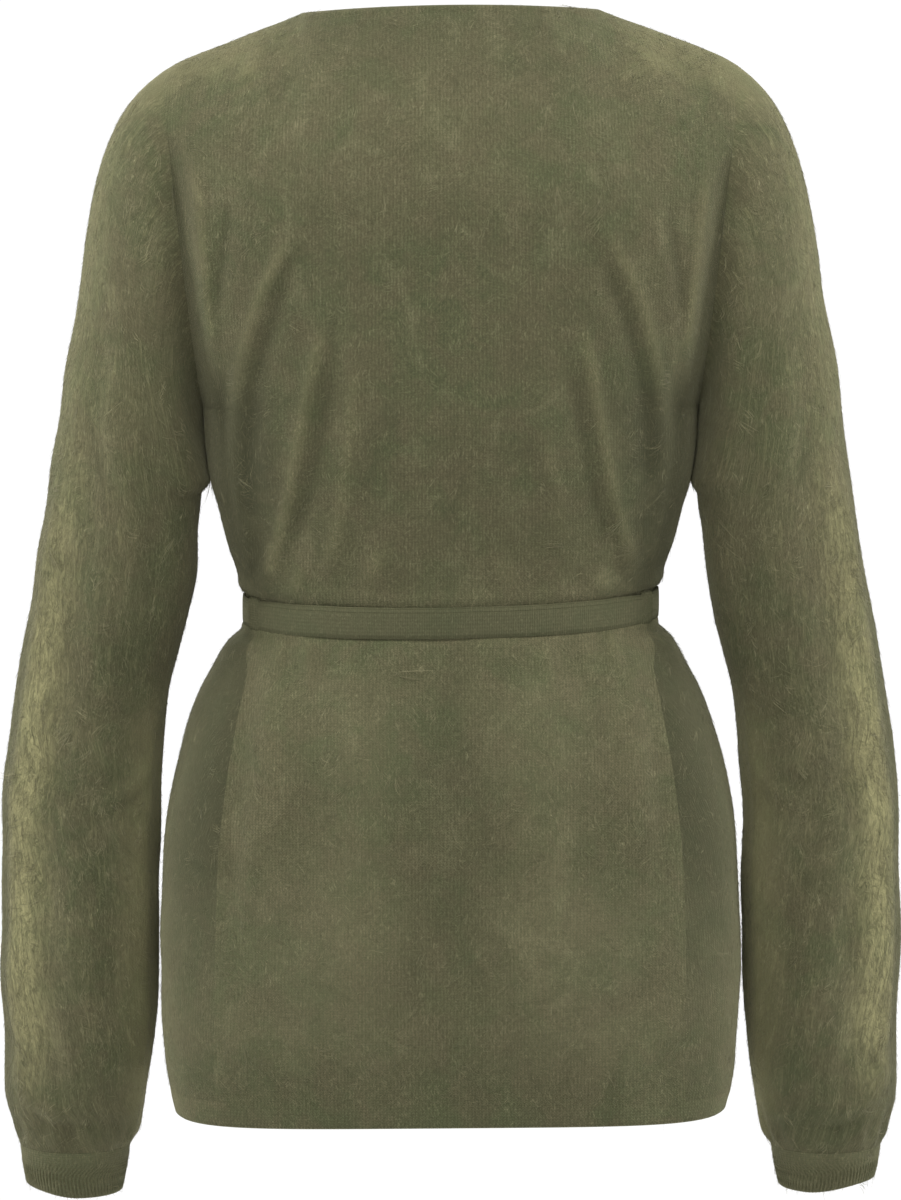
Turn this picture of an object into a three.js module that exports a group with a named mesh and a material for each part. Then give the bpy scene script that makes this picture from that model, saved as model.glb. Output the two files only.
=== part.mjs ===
// Belted wrap cardigan in brushed fine-gauge cashmere, filled out as if worn.
// Millimetres, +Z up. The garment's front faces -Y and its back faces +Y;
// +X is the wearer's left. The origin is on the centre line at the level at
// which the shoulders carry it.
//
// The body is one form, cut into a back and two crossing fronts. Below the
// underarm the form is a stack of level rings; above it each row runs from
// armhole to armhole (back) or from armhole to neck edge (front) and ends in
// the shoulder line. Sleeves are rings that start at the armhole.

import * as THREE from 'three';

// ---------------------------------------------------------------- sizes, mm
const WALL = 2.0;              // knitted cloth with its nap
const SEAM = 0.3;              // space left between two sewn pieces
const LIE = 1.0;               // space between cloth lying on cloth

const ARM_TOP = { x: 181.5, z: -26.5 };   // shoulder point
const ARM_LOW = { x: 157.6, z: -240 };    // underarm point
const ARM_DEPTH = 61;          // half the armhole, front to back
const NECK_X = 94;             // neck point, from the centre line
const NECK_Z = 9;             // neck point height
const NECK_RISE = 3.5;         // the back neck edge stands this much higher
const NECK_BACK = 48;          // how far back the neck edge reaches
const NECK_SIDE = 4;           // shoulder seam at the neck, just behind centre
const SHOULDER_ROUND = 132;    // depth over which the shoulders round off

const HEM_TOP = -671;          // seam of the hem band
const HEM_LOW = -686;
const LEAN = 0.012;            // the left shoulder hangs a little lower

const BELT = { z: -370.3, tilt: -0.018, bow: 2.2 / 120 ** 2, height: 20, thick: 2.6 };
const LOOP = { deg: 20, width: 13, height: 28, thick: 1.4 };
const KNOT = { x: 20, width: 34, height: 30, depth: 17 };
const ENDS = { width: 20, thick: 2.6, top: -388 };

// columns and rows of the faceted cloth
const CUT = {
  backCols: 26, frontCols: 12, upperRows: 10,
  sleeveCols: 16, beltCols: 44, endRows: 8,
};

// ------------------------------------------------------------ body sections
// half: half width; back/front: depth from the centre line; square: 2 is an
// ellipse, more is flatter; seam: side seam, degrees from the side to the back
const BODY = [
  { z:   20, half: 150,   back:  96, front:  82, square: 2.40, seam:  0 },
  { z:    0, half: 160,   back: 100, front:  85, square: 2.40, seam:  0 },
  { z:  -60, half: 185,   back: 109, front:  94, square: 2.40, seam:  0 },
  { z: -120, half: 185,   back: 114, front: 106, square: 2.40, seam:  0 },
  { z: -180, half: 170,   back: 113, front: 118, square: 2.40, seam:  0 },
  { z: -240, half: 157.6, back: 109, front: 123, square: 2.40, seam:  0 },
  { z: -262, half: 156.5, back: 106, front: 121, square: 2.40, seam:  2 },
  { z: -290, half: 154.3, back: 101, front: 114, square: 2.38, seam:  6 },
  { z: -301, half: 150.8, back:  99, front: 110, square: 2.36, seam:  8 },
  { z: -326, half: 143.8, back:  93, front: 101, square: 2.34, seam: 12 },
  { z: -341, half: 138.6, back:  90, front:  96, square: 2.32, seam: 15 },
  { z: -351, half: 134.6, back:  88, front:  93, square: 2.31, seam: 17 },
  { z: -359, half: 130.4, back:  87, front:  91, square: 2.30, seam: 18 },
  { z: -381, half: 130.4, back:  87, front:  91, square: 2.30, seam: 22 },
  { z: -391, half: 144.6, back:  93, front:  95, square: 2.36, seam: 27 },
  { z: -404, half: 151.6, back:  98, front:  99, square: 2.45, seam: 35 },
  { z: -430, half: 163.4, back: 108, front: 104, square: 2.60, seam: 40 },
  { z: -468, half: 174.7, back: 117, front: 108, square: 2.80, seam: 43 },
  { z: -520, half: 183.0, back: 121, front: 111, square: 3.00, seam: 45 },
  { z: -580, half: 185.4, back: 121, front: 112, square: 3.15, seam: 46 },
  { z: -625, half: 185.2, back: 119, front: 111, square: 3.40, seam: 47 },
  { z: -656, half: 182.6, back: 115, front: 109, square: 3.80, seam: 48 },
  { z: -686, half: 176.4, back: 112, front: 106, square: 4.50, seam: 49 },
];

// shoulder line, from the neck point to the shoulder point
const SHOULDER = [
  { x:  94.0, z:   9.0 }, { x: 106.0, z:   4.2 }, { x: 122.0, z:  -1.6 },
  { x: 141.0, z:  -9.0 }, { x: 160.0, z: -16.2 }, { x: 173.0, z: -21.6 },
  { x: 181.5, z: -26.5 },
];

// free edge of a front, from the neck point down; x is towards its own side
const FRONT_EDGE = [
  { z:    9, x:  94 }, { z:  -40, x:  79 }, { z: -100, x:  56 },
  { z: -160, x:  29 }, { z: -220, x:   0 }, { z: -300, x: -36 },
  { z: -366, x: -58 }, { z: -450, x: -64 }, { z: -560, x: -66 },
  { z: -700, x: -66 },
];

// folds of the back: ridges from the shoulder blades to the waist
const FOLDS = [
  { x0: 124, z0: -168, x1: 135, z1: -290, high: 3.6, wide: 11, fade: 45 },
  { x0:  88, z0: -205, x1: 110, z1: -345, high: 4.2, wide: 12, fade: 50 },
  { x0: -124, z0: -160, x1: -134, z1: -285, high: 3.6, wide: 11, fade: 45 },
  { x0: -86, z0: -210, x1: -112, z1: -345, high: 4.2, wide: 12, fade: 50 },
];

// sleeve rings: outer and inner point of each ring, its middle and its half
// depth front to back
const SLEEVE = [
  { ox: 181.5, oz:  -26.5, ix: 157.6, iz: -240.0, mid:   0, deep: 61.0 },
  { ox: 191.0, oz:  -34.0, ix: 158.5, iz: -243.5, mid:   0, deep: 62.0 },
  { ox: 201.5, oz:  -45.0, ix: 158.6, iz: -248.0, mid:   0, deep: 62.0 },
  { ox: 212.0, oz:  -62.0, ix: 158.4, iz: -255.0, mid:   0, deep: 61.2 },
  { ox: 224.0, oz:  -95.0, ix: 157.9, iz: -265.0, mid:  -1, deep: 59.5 },
  { ox: 231.0, oz: -131.0, ix: 157.3, iz: -276.0, mid:  -1, deep: 57.5 },
  { ox: 238.0, oz: -175.0, ix: 156.8, iz: -288.0, mid:  -2, deep: 56.0 },
  { ox: 246.0, oz: -220.0, ix: 158.0, iz: -301.0, mid:  -2, deep: 55.0 },
  { ox: 252.4, oz: -264.0, ix: 160.3, iz: -319.0, mid:  -3, deep: 54.0 },
  { ox: 259.8, oz: -309.0, ix: 162.0, iz: -343.0, mid:  -4, deep: 53.0 },
  { ox: 266.8, oz: -352.0, ix: 167.2, iz: -371.0, mid:  -6, deep: 52.0 },
  { ox: 273.6, oz: -389.0, ix: 174.8, iz: -400.0, mid:  -8, deep: 50.5 },
  { ox: 279.5, oz: -423.0, ix: 181.6, iz: -427.0, mid: -10, deep: 49.5 },
  { ox: 284.7, oz: -458.0, ix: 186.0, iz: -459.0, mid: -12, deep: 49.0 },
  { ox: 289.8, oz: -515.0, ix: 187.6, iz: -515.0, mid: -15, deep: 49.0 },
  { ox: 291.6, oz: -590.0, ix: 189.0, iz: -590.0, mid: -18, deep: 48.8 },
  { ox: 290.2, oz: -648.0, ix: 192.2, iz: -648.0, mid: -20, deep: 47.5 },
  { ox: 288.9, oz: -688.0, ix: 197.6, iz: -688.0, mid: -21, deep: 45.5 },
  { ox: 284.0, oz: -708.0, ix: 201.8, iz: -708.0, mid: -22, deep: 41.0 },
  { ox: 280.5, oz: -721.7, ix: 208.5, iz: -722.7, mid: -22, deep: 35.5 },
];
const CUFF = [
  { ox: 280.2, oz: -722.0, ix: 208.8, iz: -723.0, mid: -22, deep: 35.2 },
  { ox: 276.5, oz: -752.0, ix: 214.0, iz: -752.5, mid: -22, deep: 31.5 },
];

// ----------------------------------------------------------------- helpers
const rad = (deg) => (deg * Math.PI) / 180;
const mix = (a, b, t) => a + (b - a) * t;
const soft = (t) => { const u = Math.min(1, Math.max(0, t)); return u * u * (3 - 2 * u); };
const sub = (a, b) => [a[0] - b[0], a[1] - b[1], a[2] - b[2]];
const cross = (a, b) => [a[1] * b[2] - a[2] * b[1], a[2] * b[0] - a[0] * b[2], a[0] * b[1] - a[1] * b[0]];
const size = (a) => Math.hypot(a[0], a[1], a[2]);
const unit = (a) => { const l = size(a) || 1; return [a[0] / l, a[1] / l, a[2] / l]; };
const move = (p, n, d) => [p[0] + n[0] * d, p[1] + n[1] * d, p[2] + n[2] * d];

// smooth value of one column of a table, without overshoot
function read(table, key, at, by = 'z') {
  const rows = table[0][by] < table[table.length - 1][by] ? table : [...table].reverse();
  const n = rows.length;
  if (at <= rows[0][by]) return rows[0][key];
  if (at >= rows[n - 1][by]) return rows[n - 1][key];
  let i = 0;
  while (at > rows[i + 1][by]) i += 1;
  const slope = (k) => (rows[k + 1][key] - rows[k][key]) / (rows[k + 1][by] - rows[k][by]);
  const turn = (k) => {
    if (k === 0) return slope(0);
    if (k === n - 1) return slope(n - 2);
    const a = slope(k - 1);
    const b = slope(k);
    return a * b <= 0 ? 0 : (2 * a * b) / (a + b);
  };
  const h = rows[i + 1][by] - rows[i][by];
  const t = (at - rows[i][by]) / h;
  const t2 = t * t;
  const t3 = t2 * t;
  return (2 * t3 - 3 * t2 + 1) * rows[i][key] + (t3 - 2 * t2 + t) * h * turn(i)
    + (3 * t2 - 2 * t3) * rows[i + 1][key] + (t3 - t2) * h * turn(i + 1);
}

// n + 1 points at even spaces along a fine line of points
function even(points, n) {
  const run = [0];
  for (let i = 1; i < points.length; i += 1) run.push(run[i - 1] + size(sub(points[i], points[i - 1])));
  const whole = run[run.length - 1];
  const out = [];
  let k = 0;
  for (let j = 0; j <= n; j += 1) {
    const want = (whole * j) / n;
    while (k < points.length - 2 && run[k + 1] < want) k += 1;
    const t = (want - run[k]) / (run[k + 1] - run[k] || 1);
    out.push([0, 1, 2].map((c) => mix(points[k][c], points[k + 1][c], Math.min(1, Math.max(0, t)))));
  }
  return out;
}

// --------------------------------------------------------------- body form
function ringPoint(angle, z) {
  const half = read(BODY, 'half', z);
  const power = 2 / read(BODY, 'square', z);
  const c = Math.cos(angle);
  const s = Math.sin(angle);
  const deep = read(BODY, s >= 0 ? 'back' : 'front', z);
  return [Math.sign(c) * half * Math.abs(c) ** power, Math.sign(s) * deep * Math.abs(s) ** power, z];
}

function ringNormal(angle, z) {
  const a = ringPoint(angle - 0.02, z);
  const b = ringPoint(angle + 0.02, z);
  return unit([b[1] - a[1], a[0] - b[0], 0]);
}

function topHeight(x, isBack) {
  const w = Math.abs(x);
  if (w >= NECK_X) return read(SHOULDER, 'z', w, 'x');
  return NECK_Z + (isBack ? NECK_RISE * (1 - (w / NECK_X) ** 2) : 0);
}

function topDepth(x, isBack) {
  const w = Math.abs(x);
  if (w >= NECK_X) return NECK_SIDE * (ARM_TOP.x - w) / (ARM_TOP.x - NECK_X);
  return NECK_SIDE + (isBack ? (NECK_BACK - NECK_SIDE) * Math.sqrt(1 - (w / NECK_X) ** 2) : 0);
}

const roundOff = (drop, x) => Math.sin(
  (Math.PI / 2) * Math.min(1, Math.max(0, drop) / SHOULDER_ROUND),
) ** (0.5 + 0.3 * soft((150 - Math.abs(x)) / 150));

// armhole loop: turn 0 at the underarm, 180 at the shoulder point
function armPoint(turn) {
  const t = (1 - Math.cos(turn)) / 2;
  return [mix(ARM_LOW.x, ARM_TOP.x, t), ARM_DEPTH * Math.sin(turn), mix(ARM_LOW.z, ARM_TOP.z, t)];
}
const ARM_UP = unit([ARM_TOP.x - ARM_LOW.x, 0, ARM_TOP.z - ARM_LOW.z]);
const ARM_OUT = [ARM_UP[2], 0, -ARM_UP[0]];
const ARM_HALF = size([ARM_TOP.x - ARM_LOW.x, 0, ARM_TOP.z - ARM_LOW.z]) / 2;
function armNormal(turn) {
  const up = -Math.cos(turn) / ARM_HALF;
  const out = Math.sin(turn) / ARM_DEPTH;
  return unit([ARM_UP[0] * up, out, ARM_UP[2] * up]);
}

// one point of the body above the underarm, on the row of this armhole turn
function upperPoint(x, turn, isBack) {
  const t = (1 - Math.cos(turn)) / 2;
  const edge = armPoint(turn);
  const w = (x * ARM_TOP.x) / edge[0];
  const top = topHeight(w, isBack);
  const z = mix(ARM_LOW.z, top, t);
  const square = read(BODY, 'square', z);
  const deepKey = isBack ? 'back' : 'front';
  // the ring of this row is as wide as brings it to the armhole at its end
  const edgeRound = Math.max(1e-6, roundOff(ARM_TOP.z - edge[2], ARM_TOP.x));
  const need = Math.min(0.97, Math.abs(edge[1]) / edgeRound / read(BODY, deepKey, edge[2]));
  const half = edge[0] / (1 - need ** square) ** (1 / square);
  const full = read(BODY, deepKey, z)
    * Math.max(0, 1 - (Math.abs(x) / half) ** square) ** (1 / square);
  const g = roundOff(top - z, w);
  const yTop = topDepth(w, isBack);
  return [x, isBack ? mix(yTop, full, g) : mix(yTop, -full, g), z];
}

// folds push the back outwards
function foldHeight(x, z) {
  let out = 0;
  for (const f of FOLDS) {
    const t = (z - f.z0) / (f.z1 - f.z0);
    const line = mix(f.x0, f.x1, Math.min(1.3, Math.max(-0.3, t)));
    const past = Math.max(0, z - f.z0, f.z1 - z) / f.fade;
    out += f.high * Math.exp(-(((x - line) / f.wide) ** 2) - (past * 2) ** 2);
  }
  return out * soft((z + 355) / 30);
}

// the left front lies under the right one: how far it is pushed in
const pushedIn = (x, z) => (WALL + LIE) * soft((112 - x) / 40) * soft((-140 - z) / 70);

// ---------------------------------------------------------------- surfaces
// every grid point carries its place and the way out of the cloth
function withNormals(rows, wrap, outwards) {
  const nr = rows.length;
  const nc = rows[0].length;
  return rows.map((row, i) => row.map((p, j) => {
    const up = rows[Math.min(nr - 1, i + 1)][j];
    const down = rows[Math.max(0, i - 1)][j];
    const right = wrap ? row[(j + 1) % nc] : row[Math.min(nc - 1, j + 1)];
    const left = wrap ? row[(j + nc - 1) % nc] : row[Math.max(0, j - 1)];
    let n = unit(cross(sub(right, left), sub(up, down)));
    if (n[0] * outwards(p)[0] + n[1] * outwards(p)[1] + n[2] * outwards(p)[2] < 0) n = n.map((v) => -v);
    return { p, n };
  }));
}

// the whole garment hangs a little lower at its left shoulder, and the belt
// pulls the waist out of level: down at the left and in the middle
const lean = ([x, y, z]) => [
  x, y, z - LEAN * x * soft((z + 100) / 100)
    + (BELT.tilt * x + BELT.bow * x * x) * soft((165 - Math.abs(x)) / 25)
    * Math.exp(-(((z - BELT.z) / 40) ** 2)),
];

// closed solid between a grid and the same grid moved in by the wall
function cloth(name, grid, color, { wrap = false, wall = WALL, out = 0 } = {}) {
  const nr = grid.length;
  const nc = grid[0].length;
  const positions = [];
  const index = [];
  const put = (p) => { positions.push(...lean(p)); return positions.length / 3 - 1; };
  const face = grid.map((row) => row.map(({ p, n }) => put(move(p, n, out))));
  const lining = grid.map((row) => row.map(({ p, n }) => put(move(p, n, out - wall))));
  const quad = (a, b, c, d) => index.push(a, b, c, a, c, d);
  const last = wrap ? nc : nc - 1;
  for (let i = 0; i + 1 < nr; i += 1) {
    for (let j = 0; j < last; j += 1) {
      const k = (j + 1) % nc;
      quad(face[i][j], face[i][k], face[i + 1][k], face[i + 1][j]);
      quad(lining[i][k], lining[i][j], lining[i + 1][j], lining[i + 1][k]);
    }
  }
  for (let j = 0; j < last; j += 1) {
    const k = (j + 1) % nc;
    quad(lining[0][j], lining[0][k], face[0][k], face[0][j]);
    quad(face[nr - 1][j], face[nr - 1][k], lining[nr - 1][k], lining[nr - 1][j]);
  }
  if (!wrap) {
    for (let i = 0; i + 1 < nr; i += 1) {
      quad(face[i][0], face[i + 1][0], lining[i + 1][0], lining[i][0]);
      quad(face[i + 1][nc - 1], face[i][nc - 1], lining[i][nc - 1], lining[i + 1][nc - 1]);
    }
  }
  return solid(name, positions, index, color);
}

function solid(name, positions, index, color) {
  let volume = 0;
  const at = (i) => positions.slice(3 * i, 3 * i + 3);
  for (let i = 0; i < index.length; i += 3) {
    const [a, b, c] = [at(index[i]), at(index[i + 1]), at(index[i + 2])];
    const n = cross(b, c);
    volume += a[0] * n[0] + a[1] * n[1] + a[2] * n[2];
  }
  if (volume < 0) for (let i = 0; i < index.length; i += 3) [index[i + 1], index[i + 2]] = [index[i + 2], index[i + 1]];
  const geometry = new THREE.BufferGeometry();
  geometry.setAttribute('position', new THREE.Float32BufferAttribute(positions, 3));
  geometry.setIndex(index);
  geometry.computeVertexNormals();
  const mesh = new THREE.Mesh(geometry, new THREE.MeshStandardMaterial({ color, roughness: 0.95, metalness: 0 }));
  mesh.name = name;
  return mesh;
}

const TURNS = Array.from({ length: CUT.upperRows + 1 }, (_, i) => (Math.PI * i) / CUT.upperRows);
const LEVELS = [HEM_TOP, -650, -612, -568, -522, -482, -448, -418, -395, -381, -359, -340, -314, -290, -265];

// back panel, from the hem seam to the neck and shoulders
function backPanel() {
  const rows = [];
  const ends = [];
  LEVELS.forEach((z0) => {
    const z = z0 === HEM_TOP ? HEM_TOP + SEAM / 2 : z0;
    const seam = rad(read(BODY, 'seam', z));
    const line = [];
    for (let k = 0; k <= 90; k += 1) line.push(ringPoint(mix(seam, Math.PI - seam, k / 90), z));
    rows.push(even(line, CUT.backCols));
    ends.push(ringNormal(seam, z));
  });
  TURNS.forEach((turn) => {
    const edge = armPoint(turn);
    const line = [];
    for (let k = 0; k <= 90; k += 1) line.push(upperPoint(edge[0] * Math.cos((Math.PI * k) / 90), turn, true));
    rows.push(even(line, CUT.backCols));
    ends.push(turn === 0 ? [1, 0, 0] : armNormal(turn));
  });
  const grid = withNormals(rows, false, (p) => [p[0] * 0.2, 30, p[2] > -20 ? 40 : 0]);
  const lastRow = grid.length - 1;
  grid.forEach((row, i) => {
    const n = ends[i];
    row[0].n = n;
    row[row.length - 1].n = [-n[0], n[1], n[2]];
    const upper = i >= LEVELS.length;
    row.forEach((v, j) => {
      if (i === lastRow && j > 0 && j < row.length - 1) {
        const w = Math.abs(v.p[0]);
        v.n = w > NECK_X ? unit([Math.sign(v.p[0]) * 0.4, 0, 1]) : unit([0, 0.8, 0.6]);
        if (w > NECK_X) v.p = move(v.p, [0, 1, 0], SEAM / 2);
      }
      if ((i === lastRow || i === LEVELS.length) && (j === 0 || j === row.length - 1)) {
        v.p = move(v.p, [0, 1, 0], SEAM / 2);
      }
      if (i > 0 && i < lastRow && j > 0 && j < row.length - 1) {
        const side = Math.min(1, Math.min(j, row.length - 1 - j) / 2);
        v.p = move(v.p, v.n, foldHeight(v.p[0], v.p[2]) * side);
      }
      if (i === 0) v.n = unit([v.n[0], v.n[1], 0]);
    });
    for (const [v, s] of [[row[0], 1], [row[row.length - 1], -1]]) {
      const back = upper ? [-s * ARM_OUT[0], 0, -ARM_OUT[2]] : unit([-n[1] * s, n[0], 0]);
      v.p = move(v.p, back, SEAM / 2);
    }
  });
  return grid;
}

// a front, on its own side (+X); lying under the other one when inner
function frontRows(inner) {
  const rows = [];
  const ends = [];
  const press = (p) => {
    if (!inner) return p;
    const d = pushedIn(p[0], p[2]);
    const n = p[1] < 0 ? unit([p[0] * 0.35, -100, 0]) : [1, 0, 0];
    return move(p, n, -d);
  };
  const low = (z) => {
    const seam = rad(read(BODY, 'seam', z));
    const half = read(BODY, 'half', z);
    const edge = read(FRONT_EDGE, 'x', z);
    const power = read(BODY, 'square', z) / 2;
    const stop = -Math.acos(Math.sign(edge) * Math.abs(edge / half) ** power);
    const line = [];
    for (let k = 0; k <= 90; k += 1) line.push(press(ringPoint(mix(seam, stop, k / 90), z)));
    return { line, seam };
  };
  LEVELS.forEach((z0) => {
    const z = z0 === HEM_TOP ? HEM_TOP + SEAM / 2 : z0;
    const { line, seam } = low(z);
    rows.push(even(line, CUT.frontCols));
    ends.push(ringNormal(seam, z));
  });
  TURNS.forEach((turn) => {
    const edge = armPoint(turn);
    const t = (1 - Math.cos(turn)) / 2;
    const neck = read(FRONT_EDGE, 'x', mix(ARM_LOW.z, NECK_Z, t));
    const line = [];
    for (let k = 0; k <= 90; k += 1) {
      line.push(press(upperPoint(mix(neck, edge[0], Math.cos((Math.PI / 2) * (k / 90))), turn, false)));
    }
    rows.push(even(line, CUT.frontCols));
    ends.push(turn === 0 ? [1, 0, 0] : armNormal(-turn));
  });
  return { rows, ends, low };
}

function frontPanel(inner, flip) {
  const { rows, ends } = frontRows(inner);
  const grid = withNormals(rows, false, (p) => (p[1] > 0 && p[2] < -40 ? [60, 30, 0] : [p[0] * 0.5, -30, p[2] > -20 ? 40 : 0]));
  const lastRow = grid.length - 1;
  grid.forEach((row, i) => {
    const upper = i >= LEVELS.length;
    const n = ends[i];
    row[0].n = n;
    if (i === 0) row.forEach((v) => { v.n = unit([v.n[0], v.n[1], 0]); });
    if (i === lastRow) {
      row.forEach((v, j) => {
        if (j > 0) v.n = unit([0.4, 0, 1]);
        v.p = move(v.p, [0, -1, 0], SEAM / 2);
      });
    }
    if (i === LEVELS.length) row[0].p = move(row[0].p, [0, -1, 0], SEAM / 2);
    const back = upper ? [-ARM_OUT[0], 0, -ARM_OUT[2]] : unit([n[1], -n[0], 0]);
    row[0].p = move(row[0].p, back, SEAM / 2);
  });
  return flip ? mirrored(grid) : grid;
}

const mirrored = (grid) => grid.map((row) => row.map(({ p, n }) => ({ p: [-p[0], p[1], p[2]], n: [-n[0], n[1], n[2]] })));

// hem bands follow the last ring of the panel above
function hemBand(kind) {
  const levels = [HEM_LOW, HEM_TOP - SEAM / 2];
  const rows = levels.map((z) => {
    if (kind === 'back') {
      const seam = rad(read(BODY, 'seam', z));
      const line = [];
      for (let k = 0; k <= 90; k += 1) line.push(ringPoint(mix(seam, Math.PI - seam, k / 90), z));
      return even(line, CUT.backCols);
    }
    return even(frontRows(kind === 'inner').low(z).line, CUT.frontCols);
  });
  const grid = withNormals(rows, false, (p) => (kind === 'back' ? [p[0] * 0.2, 30, 0] : (p[1] > 0 ? [60, 30, 0] : [p[0] * 0.5, -30, 0])));
  grid.forEach((row, i) => {
    const seam = rad(read(BODY, 'seam', levels[i]));
    const n = ringNormal(seam, levels[i]);
    row.forEach((v) => { v.n = unit([v.n[0], v.n[1], 0]); });
    row[0].n = n;
    const along = unit([-n[1], n[0], 0]);
    row[0].p = move(row[0].p, along, kind === 'back' ? SEAM / 2 : -SEAM / 2);
    if (kind === 'back') {
      row[row.length - 1].n = [-n[0], n[1], n[2]];
      row[row.length - 1].p = move(row[row.length - 1].p, [-along[0], along[1], 0], SEAM / 2);
    }
  });
  return kind === 'outer' ? mirrored(grid) : grid;
}

// rings through outer and inner points
function tube(table, cols) {
  const rows = table.map((r) => {
    const up = [(r.ox - r.ix) / 2, 0, (r.oz - r.iz) / 2];
    const mid = [(r.ox + r.ix) / 2, r.mid, (r.oz + r.iz) / 2];
    return Array.from({ length: cols }, (_, j) => {
      const a = (2 * Math.PI * j) / cols;
      return [mid[0] + up[0] * Math.cos(a), mid[1] + r.deep * Math.sin(a), mid[2] + up[2] * Math.cos(a)];
    });
  });
  const middles = table.map((r) => [(r.ox + r.ix) / 2, r.mid, (r.oz + r.iz) / 2]);
  return rows.map((row, i) => row.map((p, j) => {
    const a = row[(j + cols - 1) % cols];
    const b = row[(j + 1) % cols];
    const c = rows[Math.max(0, i - 1)][j];
    const d = rows[Math.min(rows.length - 1, i + 1)][j];
    let n = unit(cross(sub(b, a), sub(d, c)));
    const o = sub(p, middles[i]);
    if (n[0] * o[0] + n[1] * o[1] + n[2] * o[2] < 0) n = n.map((v) => -v);
    return { p, n };
  }));
}

function sleeve(flip) {
  const grid = tube(SLEEVE, CUT.sleeveCols);
  grid[0].forEach((v, j) => {
    const turn = Math.PI - (2 * Math.PI * j) / CUT.sleeveCols;
    v.n = armNormal(turn);
    v.p = move(v.p, ARM_OUT, SEAM / 2);
  });
  grid[grid.length - 1].forEach((v) => { v.n = unit([v.n[0], v.n[1], 0]); });
  return flip ? mirrored(grid) : grid;
}

function cuff(flip) {
  const grid = tube(CUFF, CUT.sleeveCols);
  grid.forEach((row) => row.forEach((v) => { v.n = unit([v.n[0], v.n[1], 0]); }));
  return flip ? mirrored(grid) : grid;
}

// belt: a flat ring lying on the body
function beltRing() {
  const line = [];
  for (let k = 0; k <= 720; k += 1) line.push(ringPoint((Math.PI * k) / 360, BELT.z));
  const ring = even(line, CUT.beltCols).slice(0, CUT.beltCols);
  return [-0.5, 0.5].map((h) => ring.map((mid, j) => {
    const a = ring[(j + CUT.beltCols - 1) % CUT.beltCols];
    const b = ring[(j + 1) % CUT.beltCols];
    const n = unit([b[1] - a[1], a[0] - b[0], 0]);
    const p = move(mid, n, LIE + BELT.thick);
    return { p: [p[0], p[1], BELT.z + h * BELT.height], n };
  }));
}

// belt loop: a strip over the belt, sewn above and below it
function beltLoop(flip) {
  const profile = [
    { h: 0.50, out: 0.35 }, { h: 0.44, out: 1.2 }, { h: 0.38, out: 3.6 }, { h: 0.2, out: 4.3 },
    { h: -0.2, out: 4.3 }, { h: -0.38, out: 3.6 }, { h: -0.44, out: 1.2 }, { h: -0.50, out: 0.35 },
  ];
  const grid = profile.map(({ h, out }) => [-1, 0, 1].map((w) => {
    const z = BELT.z + h * LOOP.height;
    const a = rad(LOOP.deg + (w * LOOP.width * 0.5 * 180) / (Math.PI * 122));
    const n = ringNormal(a, BELT.z);
    const half = read(BODY, 'half', z) - read(BODY, 'half', BELT.z);
    const p = move(ringPoint(a, BELT.z), n, Math.max(out + LIE, half + 1.2) + LOOP.thick);
    return { p: [p[0], p[1], z], n };
  }));
  return flip ? mirrored(grid) : grid;
}

function frontAngle(x) {
  const half = read(BODY, 'half', BELT.z);
  const power = read(BODY, 'square', BELT.z) / 2;
  return -Math.acos(Math.sign(x) * Math.abs(x / half) ** power);
}

// knot: a rounded block, pinched across its middle by the turn of the belt
function knot() {
  const ball = new THREE.SphereGeometry(1, 14, 8);
  ball.deleteAttribute('uv');
  const pos = ball.getAttribute('position');
  const block = (v) => Math.sign(v) * Math.abs(v) ** 0.72;
  const at = ringPoint(frontAngle(KNOT.x), BELT.z);
  const y = at[1] - LIE - BELT.thick - 0.6 - KNOT.depth / 2;
  for (let i = 0; i < pos.count; i += 1) {
    const [a, b, c] = [pos.getX(i), pos.getY(i), pos.getZ(i)];
    const waist = 1 - 0.16 * Math.exp(-((b / 0.35) ** 2));
    pos.setXYZ(
      i,
      KNOT.x + (block(a) * KNOT.width * 0.5) * waist,
      y - block(c) * KNOT.depth * 0.5,
      BELT.z + BELT.tilt * KNOT.x + block(b) * KNOT.height * 0.5 - a * 3,
    );
  }
  const mesh = new THREE.Mesh(ball, new THREE.MeshStandardMaterial({ color: COLOR.belt, roughness: 0.9, metalness: 0 }));
  mesh.name = 'belt_knot';
  return mesh;
}

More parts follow.
